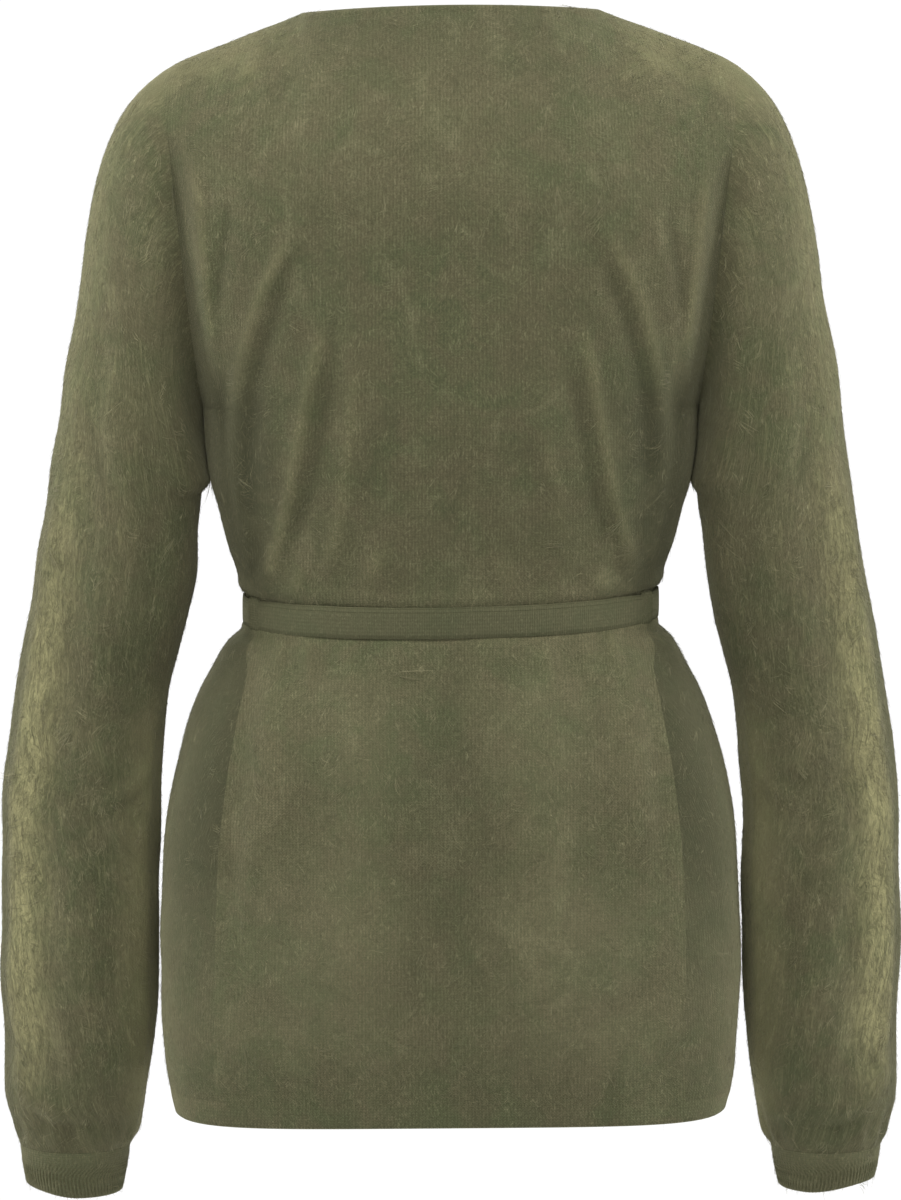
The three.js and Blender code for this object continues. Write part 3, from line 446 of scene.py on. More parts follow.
def shell(name, p, n, knit, mat, wall=WALL, wrap=False, bulge=0.35, lean_it=True, joins=(), fold=None):
    """Closed thin cloth between a grid and the same grid moved in, with rounded edges.
    knit is the grid's (u, v) along the knit, in metres. joins names the sides where
    the cloth runs on in the next piece, so that no edge shows there."""
    nr, nc = p.shape[:2]
    face = p
    inner = p - n * wall
    mid = p - n * wall / 2
    pu, pv = (1, 0)
    if lean_it:
        face, inner, mid = lean(face), lean(inner), lean(mid)
    cols = nc + 1 if wrap else nc

    def wide(a):
        return np.concatenate([a, a[:, :1]], 1) if wrap else a

    verts = [face.reshape(-1, 3), inner.reshape(-1, 3)]
    off_in = nr * nc
    idx = np.arange(nr * nc).reshape(nr, nc)
    fi, ii = wide(idx), wide(idx + off_in)
    ku = knit[0]
    kv = knit[1]
    faces, uv_knit, uv_bake = [], [], []

    def add(quads, kuv, buv):
        faces.append(quads.reshape(-1, 4))
        uv_knit.append(kuv.reshape(-1, 4, 2))
        uv_bake.append(buv.reshape(-1, 4, 2))

    def corners(a):
        return np.stack([a[:-1, :-1], a[:-1, 1:], a[1:, 1:], a[1:, :-1]], -1)

    jj, rr = np.meshgrid(np.linspace(0, 1, cols), np.linspace(0, 1, nr))
    lo, hi = 0.008, 0.482
    add(corners(fi), np.stack([corners(ku), corners(kv)], -1), np.stack([corners(lo + (hi - lo) * jj), corners(0.01 + 0.98 * rr)], -1))
    q = corners(ii)[..., ::-1]
    add(q, np.stack([corners(ku)[..., ::-1], corners(kv)[..., ::-1]], -1),
        np.stack([corners(1 - lo - (hi - lo) * jj)[..., ::-1], corners(0.01 + 0.98 * rr)[..., ::-1]], -1))
    count = 2 * nr * nc

    def rim(a_out, a_in, out_dir, ks, kt, strip, closed):
        """Joins the two faces along an edge by a line that stands a little proud."""
        nonlocal count
        ring_mid = (verts_all[a_out] + verts_all[a_in]) / 2 + out_dir * wall * bulge
        m = len(a_out)
        new = np.arange(count, count + m)
        extra.append(ring_mid)
        count += m
        s = np.linspace(0.01, 0.99, m + (1 if closed else 0))
        seq = (lambda v: np.concatenate([v, v[:1]])) if closed else (lambda v: v)
        A, B, C = seq(a_out), seq(new), seq(a_in)
        if closed:
            ks2, kt2 = ks, kt
        else:
            ks2, kt2 = ks, kt
        u0 = 0.486 + 0.028 * strip / 4
        for X, Y, h0 in ((A, B, 0.0), (B, C, 0.5)):
            quad = np.stack([X[:-1], X[1:], Y[1:], Y[:-1]], -1)
            k = np.stack([np.stack([ks2[:-1], ks2[1:], ks2[1:], ks2[:-1]], -1), np.stack([kt2[:-1], kt2[1:], kt2[1:], kt2[:-1]], -1)], -1)
            b = np.stack([np.broadcast_to([u0 + h0 * 0.006, u0 + h0 * 0.006, u0 + h0 * 0.006 + 0.0028, u0 + h0 * 0.006 + 0.0028], quad.shape),
                          np.stack([s[:-1], s[1:], s[1:], s[:-1]], -1)], -1)
            add(quad, k, b)

    verts_all = np.concatenate(verts, 0)
    extra = []
    down = unit(face[0] - face[1])
    upw = unit(face[-1] - face[-2])
    # first row: outer edge runs the other way round
    rim(idx[0][::-1], (idx[0] + off_in)[::-1], down[::-1], ku[0][::-1], kv[0][::-1], 0, wrap)
    rim(idx[-1], idx[-1] + off_in, upw, ku[-1], kv[-1], 1, wrap)
    if not wrap:
        left = unit(face[:, 0] - face[:, 1])
        right = unit(face[:, -1] - face[:, -2])
        rim(idx[:, 0], idx[:, 0] + off_in, left, ku[:, 0], kv[:, 0], 2, False)
        rim(idx[::-1, -1], (idx[:, -1] + off_in)[::-1], right[::-1], ku[::-1, -1], kv[::-1, -1], 3, False)
    all_v = np.concatenate([verts_all] + extra, 0) * MM
    fcs = np.concatenate(faces, 0)
    kuv = np.concatenate(uv_knit, 0)
    buv = np.concatenate(uv_bake, 0)
    # faces point out: the first face's normal is compared with the grid's
    mid_i, mid_j = nr // 2, nc // 2
    f0 = fcs[mid_i * (cols - 1) + mid_j]
    a, b, c = all_v[f0[0]], all_v[f0[1]], all_v[f0[2]]
    if np.dot(np.cross(b - a, c - a), n[mid_i, mid_j]) < 0:
        fcs, kuv, buv = fcs[:, ::-1], kuv[:, ::-1], buv[:, ::-1]
    ob = mesh_from(name, all_v, np.ascontiguousarray(fcs), {"knit": np.ascontiguousarray(kuv), "OFBake": np.ascontiguousarray(buv)}, [mat])
    tone = np.zeros(len(all_v), np.float32)
    if fold is not None:
        tone[:nr * nc] = fold.ravel()
    ob.data.attributes.new("fold", "FLOAT", "POINT").data.foreach_set("value", tone)
    sharp = set()
    for side_name, line in (("low", idx[0]), ("top", idx[-1]), ("left", idx[:, 0]), ("right", idx[:, -1])):
        if side_name in joins:
            ring_ids = np.append(line, line[0]) if wrap else line
            sharp |= {(min(a, b), max(a, b)) for a, b in zip(ring_ids[:-1].tolist(), ring_ids[1:].tolist())}
    bm_fix(ob, sharp)
    return ob


def bm_fix(ob, sharp=()):
    """Fills the holes where two edge lines meet, makes all faces point out and marks the given edges sharp."""
    import bmesh
    bm = bmesh.new()
    bm.from_mesh(ob.data)
    holes = [e for e in bm.edges if len(e.link_faces) == 1]
    if holes:
        bmesh.ops.holes_fill(bm, edges=holes, sides=0)
    bmesh.ops.recalc_face_normals(bm, faces=bm.faces)
    for f in bm.faces:
        f.smooth = True
    if sharp:
        for e in bm.edges:
            a, b = e.verts[0].index, e.verts[1].index
            if (min(a, b), max(a, b)) in sharp:
                e.smooth = False
    bm.to_mesh(ob.data)
    bm.free()


def knit_coords(p, wrap=False, centre=None):
    """Distance along each row from its middle, and along each column, in metres."""
    nr, nc = p.shape[:2]
    q = np.concatenate([p, p[:, :1]], 1) if wrap else p
    along = np.concatenate([np.zeros((nr, 1)), np.cumsum(np.linalg.norm(np.diff(q, axis=1), axis=2), 1)], 1)
    if centre is not None:
        along = along - along[:, centre:centre + 1]
    up = np.concatenate([np.zeros((1, q.shape[1])), np.cumsum(np.linalg.norm(np.diff(q, axis=0), axis=2), 0)], 0)
    return along * MM, up * MM


# --------------------------------------------------------- body grids (mm)
STEP = 4.0
BACK_COLS = 112
FRONT_COLS = 56
UPPER_ROWS = 58
LOW_Z = np.concatenate([rows_down(BELT_Z - 14, HEM_TOP, STEP)[:-1], rows_down(BELT_Z + 14, BELT_Z - 14, 2.6)[:-1], rows_down(ARM_LOW[1] - 4, BELT_Z + 14, STEP)])
TURNS = math.pi * np.linspace(0, 1, UPPER_ROWS) ** 0.96


def back_line(z):
    seam = np.radians(read(BODY, 5, z))
    return ring(np.linspace(seam, math.pi - seam, 361), np.full(361, z))


def back_grid():
    rows = [even(back_line(z), BACK_COLS) for z in LOW_Z]
    for turn in TURNS:
        edge = arm_point(turn)
        rows.append(even(upper(edge[0] * np.cos(np.linspace(0, math.pi, 361)), turn, True), BACK_COLS))
    return np.array(rows)


def front_line(z, inner):
    seam = np.radians(read(BODY, 5, z))
    half, edge, power = read(BODY, 1, z), read(FRONT_EDGE, 1, z), read(BODY, 4, z) / 2
    stop = -math.acos(np.sign(edge) * abs(edge / half) ** power)
    return pressed(ring(np.linspace(seam, stop, 241), np.full(241, z)), inner)


def front_grid(inner):
    rows = [even(front_line(z, inner), FRONT_COLS) for z in LOW_Z]
    for turn in TURNS:
        edge = arm_point(turn)
        t = (1 - math.cos(turn)) / 2
        neck = float(read(FRONT_EDGE, 1, ARM_LOW[1] + (NECK_Z - ARM_LOW[1]) * t))
        x = neck + (edge[0] - neck) * np.cos(np.linspace(0, math.pi / 2, 241))
        rows.append(even(pressed(upper(x, turn, False), inner), FRONT_COLS))
    return np.array(rows)


def wobble(p, seed, high=0.9):
    return waves(p, seed, 46, 120) * high


def body_out(p):
    return np.stack([p[..., 0] * 0.3, np.where(p[..., 1] > 0, 30.0, -30.0) + 0 * p[..., 0], np.where(p[..., 2] > -20, 40.0, 0.0)], -1)


def belt_puff(p, n):
    """The cloth swells a little just above and below the belt that draws it in."""
    z = p[..., 2] - BELT_Z - BELT_BOW * p[..., 0] ** 2
    sides = soft((np.abs(p[..., 0]) - 92) / 30)
    h = 2.5 * np.exp(-(((z - 14.0) / 4.6) ** 2)) * (1 - 0.35 * sides)
    h = h + (2.4 * np.exp(-(((z + 14.0) / 4.6) ** 2)) - 0.3 * np.exp(-((z / 9) ** 2))) * (1 - 0.92 * sides)
    # at the side seams it stands out as far as the belt does, with no notch in the outline
    h = h + sides * (2.2 * np.exp(-(((z - 12.6) / 2.6) ** 2)) + 3.0 * np.exp(-(((z + 13.2) / 3.0) ** 2)))
    return p + n * h[..., None]


back = back_grid()
back_n = grid_normals(back, False, body_out)
side = np.minimum(np.arange(BACK_COLS + 1), np.arange(BACK_COLS + 1)[::-1])[None, :]
back = back + back_n * (wobble(back, 3) * soft(side / 14.0) * soft((4 - back[..., 2]) / 40) * soft((back[..., 2] - HEM_TOP) / 30))[..., None]
# the line from the neck point fades into the shoulder
kernel = np.exp(-np.linspace(-2, 2, 13) ** 2)
kernel /= kernel.sum()
padded = np.concatenate([back[:, :1].repeat(6, 1), back, back[:, -1:].repeat(6, 1)], 1)[..., 1]
smooth_y = sum(kernel[k] * padded[:, k:k + back.shape[1]] for k in range(13))
below = back[-1:, :, 2] - back[..., 2]
w = soft((np.abs(back[..., 0]) - 56) / 22) * soft((152 - np.abs(back[..., 0])) / 24) * soft(below / 14) * soft((150 - below) / 60)
back[..., 1] += (smooth_y - back[..., 1]) * w
# rolled edge of the neck
edge = np.exp(-(((below - 1.6) / 1.7) ** 2)) * 0.5 - np.exp(-(((below - 4.6) / 1.2) ** 2)) * 0.45
back = back + back_n * (edge * soft((97 - np.abs(back[..., 0])) / 6))[..., None]
back = belt_puff(back, back_n)
back = push_folds(back)
back_n = grid_normals(back, False, body_out)


def front_shape(inner, seed, mirror):
    p = front_grid(inner)
    n = grid_normals(p, False, body_out)
    s = soft(np.arange(FRONT_COLS + 1)[None, :] / 10.0)
    p = p + n * (wobble(p, seed, 0.9) * s * soft((4 - p[..., 2]) / 40) * soft((p[..., 2] - HEM_TOP) / 30))[..., None]
    p = belt_puff(p, n)
    if mirror:
        p = p * np.array([-1.0, 1, 1])
    p = push_folds(p)
    return p, grid_normals(p, False, body_out)


front_l, front_l_n = front_shape(True, 5, False)
front_r, front_r_n = front_shape(False, 6, True)

# seams share their normals
for f, f_n, sgn in ((front_l, front_l_n, 0), (front_r, front_r_n, -1)):
    m = unit(back_n[:, sgn] + f_n[:, 0])
    back_n[:, sgn] = m
    f_n[:, 0] = m


def hem_grid(kind):
    zs = np.linspace(HEM_LOW, HEM_TOP, 8)
    if kind == "back":
        p = np.array([even(back_line(z), BACK_COLS) for z in zs])
    else:
        p = np.array([even(front_line(z, kind == "inner"), FRONT_COLS) for z in zs])
        if kind == "outer":
            p = p * np.array([-1.0, 1, 1])
    p = push_folds(p)
    p[..., 2] += (1.6 - 0.008 * p[..., 0]) * soft((HEM_TOP - p[..., 2]) / 12)
    n = grid_normals(p, False, body_out)
    # a soft tubular band
    lift = 0.34 * np.sin(math.pi * np.linspace(0.06, 0.94, 8))[:, None, None]
    return p + n * lift, n


# ------------------------------------------------------------ sleeves (mm)
def sleeve_form(table, rows, cols):
    """Rings at even spaces along a table of outer and inner points."""
    mids = np.stack([(table[:, 0] + table[:, 2]) / 2, table[:, 4], (table[:, 1] + table[:, 3]) / 2], -1)
    run = np.concatenate([[0], np.cumsum(np.linalg.norm(np.diff(mids, axis=0), axis=1))])
    at = np.linspace(0, run[-1], rows)
    by = np.column_stack([run, table])
    ox, oz, ix, iz, my, deep = (read(by, k, at) for k in range(1, 7))
    a = 2 * math.pi * np.arange(cols) / cols
    c, s = np.cos(a)[None, :], np.sin(a)[None, :]
    x = ((ox + ix) / 2)[:, None] + ((ox - ix) / 2)[:, None] * c
    z = ((oz + iz) / 2)[:, None] + ((oz - iz) / 2)[:, None] * c
    y = my[:, None] + deep[:, None] * s
    p = np.stack([x, y, z], -1)
    mid = np.stack([(ox + ix) / 2, my, (oz + iz) / 2], -1)[:, None, :]
    return p, mid, at


SLEEVE_ROWS = 172
SLEEVE_COLS = 100


def sleeve_grid(seed):
    p, mid, at = sleeve_form(SLEEVE, SLEEVE_ROWS, SLEEVE_COLS)
    n = grid_normals(p, True, lambda q: q - mid)
    n[0] = arm_normal(math.pi - 2 * math.pi * np.arange(SLEEVE_COLS) / SLEEVE_COLS)
    # distance round from the outer line, + at the back of the arm
    q = np.concatenate([p, p[:, :1]], 1)
    step = np.linalg.norm(np.diff(q, axis=1), axis=2)
    round_ = np.concatenate([np.zeros((len(p), 1)), np.cumsum(step, 1)[:, :-1]], 1)
    whole = step.sum(1)[:, None]
    round_ = np.where(round_ > whole / 2, round_ - whole, round_)
    start = soft((at - 40) / 90)[:, None]
    end = soft((at[-1] - at) / 8)[:, None]
    h = fold_sum(SLEEVE_FOLDS, round_, p[..., 2]) * start * end
    h += wobble(p, seed, 1.1) * start * end
    # gathers drawn into the cuff
    rng = np.random.default_rng(seed + 50)
    a = 2 * math.pi * np.arange(SLEEVE_COLS) / SLEEVE_COLS
    g = sum(rng.uniform(0.5, 1.0) * np.sin(k * a + rng.uniform(0, 6.28)) for k in (9, 13, 16, 19))
    up = at[-1] - at
    near = (np.exp(-((up / 24) ** 2)) * soft(up / 9))[:, None]
    h += g[None, :] * 0.70 * near
    # the sleeve rolls in to the top of the cuff
    h += (0.3 * np.exp(-(((up - 10) / 7) ** 2)))[:, None]
    p = p + n * h[..., None]
    # the sleeve lies against the flank for a way under the arm, and stands off below that
    flank = read(BODY, 1, p[..., 2]) + 0.2
    inner = mid[..., 0] - p[..., 0]
    side = soft((inner / np.maximum(inner.max(1, keepdims=True), 1e-6) - 0.30) / 0.6)
    close = side * soft((p[..., 2] + 297) / 10) * soft((-237 - p[..., 2]) / 4)
    low_x = p[..., 0].min(1, keepdims=True)
    off = 1.4 * np.exp(-(((p[..., 2] + 344) / 33) ** 2)) * side
    p = p + np.stack([off - np.clip(low_x - flank, 0, 6.5) * close, 0 * close, 0 * close], -1)
    return p, mid, at, h


def sleeve_piece(sign, seed):
    p, mid, at, crest = sleeve_grid(seed)
    m = np.array([sign, 1.0, 1.0])
    p, mid = p * m, mid * m
    p = push_armhole(p, at)
    n = grid_normals(p, True, lambda q: q - mid)
    turn = math.pi - 2 * math.pi * np.arange(SLEEVE_COLS) / SLEEVE_COLS
    n0 = arm_normal(turn) * m
    for i in range(4):
        k = i / 4
        n[i] = unit(n0 * (1 - k) + n[i] * k)
    # each ring starts at the seam under the arm
    return np.roll(p, -SLEEVE_COLS // 2, 1), np.roll(n, -SLEEVE_COLS // 2, 1), np.roll(crest, -SLEEVE_COLS // 2, 1)


def round_coords(p):
    """Distance round from the outer line of the arm, + at its back, and along it."""
    u, v = knit_coords(p, wrap=True)
    return u - u[:, -1:] / 2, v


def push_armhole(p, at):
    """The creases of the body run on over the first part of the sleeve."""
    moved = push_folds(p)
    w = (1 - soft((at - 50) / 60))[:, None, None]
    return p + (moved - p) * w


def cuff_piece(sign):
    cols = 84 * 4
    p, mid, at = sleeve_form(CUFF, 11, cols)
    n = grid_normals(p, True, lambda q: q - mid)
    n[..., 2] = 0
    n = unit(n)
    a = 2 * math.pi * np.arange(cols) / cols
    ribs = 84
    down = np.linspace(0, 1, 11)[:, None]
    h = (0.04 + 0.36 * soft((down - 0.10) / 0.5)) * (np.cos(ribs * a)[None, :] - 0.4) + 0.4 * np.sin(math.pi * down)
    p = p + n * h[..., None]
    # the edge rises at the outer side, and the right one is the shorter
    if sign > 0:
        p[..., 2] += down * 4.6 * soft((p[..., 0] - 240) / 40)
    else:
        p[..., 2] += down * (3.3 + 5.2 * soft((p[..., 0] - 228) / 46))
    m = np.array([sign, 1.0, 1.0])
    return p * m, n * m


# ---------------------------------------------------------------- materials
def srgb(r, g, b):
    def lin(v):
        v /= 255
        return v / 12.92 if v <= 0.04045 else ((v + 0.055) / 1.055) ** 2.4
    return (lin(r), lin(g), lin(b), 1.0)


class Tree:
    def __init__(self, name):
        self.mat = bpy.data.materials.new(name)
        self.mat.use_nodes = True
        self.nt = self.mat.node_tree
        self.nt.nodes.clear()
        self.out = self.add("ShaderNodeOutputMaterial")
        self.bsdf = self.add("ShaderNodeBsdfPrincipled")
        self.link(self.bsdf.outputs[0], self.out.inputs[0])

    def add(self, kind, **kw):
        n = self.nt.nodes.new(kind)
        for k, v in kw.items():
            setattr(n, k, v)
        return n

    def link(self, a, b):
        self.nt.links.new(a, b)

    def math(self, op, a, b=None, c=None, clamp=False):
        n = self.add("ShaderNodeMath", operation=op, use_clamp=clamp)
        for i, v in enumerate((a, b, c)):
            if v is None:
                continue
            if isinstance(v, (int, float)):
                n.inputs[i].default_value = v
            else:
                self.link(v, n.inputs[i])
        return n.outputs[0]

    def uv(self, name):
        n = self.add("ShaderNodeUVMap", uv_map=name)
        s = self.add("ShaderNodeSeparateXYZ")
        self.link(n.outputs[0], s.inputs[0])
        return n.outputs[0], s.outputs[0], s.outputs[1]

    def vec(self, x, y, z=0.0):
        n = self.add("ShaderNodeCombineXYZ")
        for i, v in enumerate((x, y, z)):
            if isinstance(v, (int, float)):
                n.inputs[i].default_value = v
            else:
                self.link(v, n.inputs[i])
        return n.outputs[0]

    def noise(self, vec, scale, detail=3.0, rough=0.55, distort=0.0):
        n = self.add("ShaderNodeTexNoise")
        self.link(vec, n.inputs["Vector"])
        n.inputs["Scale"].default_value = scale
        n.inputs["Detail"].default_value = detail
        n.inputs["Roughness"].default_value = rough
        n.inputs["Distortion"].default_value = distort
        return n.outputs["Fac"]

    def span(self, v, a, b, c=0.0, d=1.0, smooth=True):
        n = self.add("ShaderNodeMapRange", interpolation_type="SMOOTHSTEP" if smooth else "LINEAR")
        self.link(v, n.inputs[0])
        for i, k in enumerate((a, b, c, d)):
            n.inputs[i + 1].default_value = k
        return n.outputs[0]

    def mix(self, fac, a, b, blend="MIX"):
        n = self.add("ShaderNodeMix", data_type="RGBA", blend_type=blend)
        if isinstance(fac, (int, float)):
            n.inputs[0].default_value = fac
        else:
            self.link(fac, n.inputs[0])
        for i, v in ((6, a), (7, b)):
            if isinstance(v, tuple):
                n.inputs[i].default_value = v
            else:
                self.link(v, n.inputs[i])
        return n.outputs[2]

    def finish(self, colour, height, rough=0.92, sheen=0.35, sheen_rough=0.45, tint=(0.64, 0.62, 0.38, 1), strength=0.5, distance=0.0006):
        self.link(colour, self.bsdf.inputs["Base Color"])
        self.bsdf.inputs["Roughness"].default_value = rough
        self.bsdf.inputs["Specular IOR Level"].default_value = 0.22
        self.bsdf.inputs["Sheen Weight"].default_value = sheen
        self.bsdf.inputs["Sheen Roughness"].default_value = sheen_rough
        self.bsdf.inputs["Sheen Tint"].default_value = tint
        if height is not None:
            b = self.add("ShaderNodeBump")
            b.inputs["Strength"].default_value = strength
            b.inputs["Distance"].default_value = distance
            self.link(height, b.inputs["Height"])
            self.link(b.outputs[0], self.bsdf.inputs["Normal"])
        return self.mat


OLIVE = srgb(105, 103, 76)
OLIVE_DARK = srgb(76, 76, 53)
OLIVE_GREEN = srgb(91, 98, 68)
OLIVE_BROWN = srgb(112, 103, 80)
# the dark below is both the yarn's darker tone and painted shade, and the two pale ones are both pale fibres and
# painted highlight
DARK_TONE_AND_PAINTED_SHADE = srgb(58, 59, 41)
PALE_FIBRE_AND_HIGHLIGHT = srgb(164, 160, 124)
PALE_NAP_AND_HIGHLIGHT = srgb(164, 160, 117)


def knit_height(t, u, v, wale=WALE * MM, course=COURSE * MM):
    """Columns of V-shaped stitches."""
    a = t.math("DIVIDE", u, wale)
    f = t.math("ABSOLUTE", t.math("SUBTRACT", t.math("FRACT", a), 0.5))       # 0 middle, 0.5 between columns
    groove = t.math("COSINE", t.math("MULTIPLY", a, 2 * math.pi))              # -1 in the middle, 1 between
    ph = t.math("ADD", t.math("DIVIDE", v, course), t.math("MULTIPLY", f, 1.3))
    st = t.math("SINE", t.math("MULTIPLY", ph, 2 * math.pi))
    return t.math("ADD", t.math("MULTIPLY", groove, -0.42), t.math("MULTIPLY", st, 0.58))


def place_of(t):
    """Position on the cardigan in metres, and |x|, y, z apart."""
    co = t.add("ShaderNodeTexCoord").outputs["Object"]
    sp = t.add("ShaderNodeSeparateXYZ")
    t.link(co, sp.inputs[0])
    return co, t.math("ABSOLUTE", sp.outputs[0]), sp.outputs[1], sp.outputs[2]


def bell(t, v, mid, wide):
    """1 at mid, falling off to both sides."""
    q = t.math("DIVIDE", t.math("SUBTRACT", v, mid), wide)
    return t.math("EXPONENT", t.math("MULTIPLY", t.math("MULTIPLY", q, q), -1.0))


def product(t, *parts):
    out = parts[0]
    for part in parts[1:]:
        out = t.math("MULTIPLY", out, part)
    return out


def paint_body_light_and_shade(t, c, co, ax, y, z, front):
    """Painted light and shade on the body: painted shade on the flanks, on the fronts' side panels below the belt,
    towards the hem, on the ridge zone, at the nape and down the middle below the belt, painted highlight on the lower
    back and its swells, then the shoulders' painted highlight and the armhole creases' painted shade.
    """
    ragged = t.math("MULTIPLY", t.math("SUBTRACT", t.noise(co, 38.0, 3.0, 0.6), 0.5), 0.05)
    axr, zr = t.math("ADD", ax, ragged), t.math("ADD", z, ragged)
    # painted shade on the flanks
    flank = product(t, t.span(axr, 0.094, 0.132), t.span(zr, -0.19, -0.25), t.span(zr, -0.372, -0.345))
    c = t.mix(t.math("MULTIPLY", flank, 0.84), c, DARK_TONE_AND_PAINTED_SHADE)
    if front:
        # the fronts turn to the back below the belt, and painted shade darkens them there
        painted_panel_shade = product(t, t.span(y, -0.02, 0.02), t.span(zr, -0.372, -0.385), t.span(zr, -0.64, -0.50, 0.34, 1.0))
        c = t.mix(t.math("MULTIPLY", painted_panel_shade, 0.72), c, DARK_TONE_AND_PAINTED_SHADE)
    # painted shade, darker towards the hem
    hem = t.span(zr, -0.63, -0.70)
    c = t.mix(t.math("MULTIPLY", hem, 0.07), c, DARK_TONE_AND_PAINTED_SHADE)
    # painted highlight on the lower back
    low = product(t, bell(t, axr, 0.085, 0.055), t.span(zr, -0.50, -0.56), t.span(zr, -0.67, -0.62))
    c = t.mix(t.math("MULTIPLY", low, 0.11), c, PALE_FIBRE_AND_HIGHLIGHT)
    # painted shade on the zone of the long ridges
    ridges = product(t, bell(t, axr, 0.112, 0.034), t.span(zr, -0.12, -0.19), t.span(zr, -0.33, -0.27))
    c = t.mix(t.math("MULTIPLY", ridges, 0.15), c, DARK_TONE_AND_PAINTED_SHADE)
    # painted shade at the nape
    painted_nape_shade = product(t, t.span(axr, 0.110, 0.060), t.span(zr, -0.05, 0.0))
    c = t.mix(t.math("MULTIPLY", painted_nape_shade, 0.20), c, DARK_TONE_AND_PAINTED_SHADE)
    # painted highlight on the swells below the belt
    painted_swell_highlight = product(t, bell(t, axr, 0.060, 0.030), t.span(zr, -0.392, -0.42), t.span(zr, -0.60, -0.50))
    c = t.mix(t.math("MULTIPLY", painted_swell_highlight, 0.06), c, PALE_FIBRE_AND_HIGHLIGHT)
    # painted shade down the middle trough below the belt
    middle = product(t, bell(t, axr, 0.0, 0.024), t.span(zr, -0.41, -0.46), t.span(zr, -0.62, -0.5))
    c = t.mix(t.math("MULTIPLY", middle, 0.12), c, DARK_TONE_AND_PAINTED_SHADE)
    return paint_cap_highlight_and_crease_shade(t, c, axr, zr)


def paint_cap_highlight_and_crease_shade(t, c, ax, z):
    """Painted highlight along the shoulder line and over the top of the arm, and painted shade in the armhole crease.
    """
    drop = t.math("SUBTRACT", t.math("MULTIPLY", t.math("SUBTRACT", ax, 0.094), -0.34), z)       # how far under the shoulder line
    # painted highlight along the shoulder line and over the top of the arm
    top = product(t, t.span(drop, 0.030, 0.004), t.span(ax, 0.09, 0.13), t.span(ax, 0.215, 0.185))
    c = t.mix(t.math("MULTIPLY", top, 0.16), c, PALE_NAP_AND_HIGHLIGHT)
    # painted shade in the armhole crease
    away = t.math("ABSOLUTE", t.math("SUBTRACT", ax, t.math("ADD", t.math("MULTIPLY", z, 0.112), 0.1850)))
    painted_crease_shade = product(t, t.span(away, 0.016, 0.002), t.span(z, -0.070, -0.130), t.span(z, -0.300, -0.250))
    return t.mix(t.math("MULTIPLY", painted_crease_shade, 0.34), c, DARK_TONE_AND_PAINTED_SHADE)


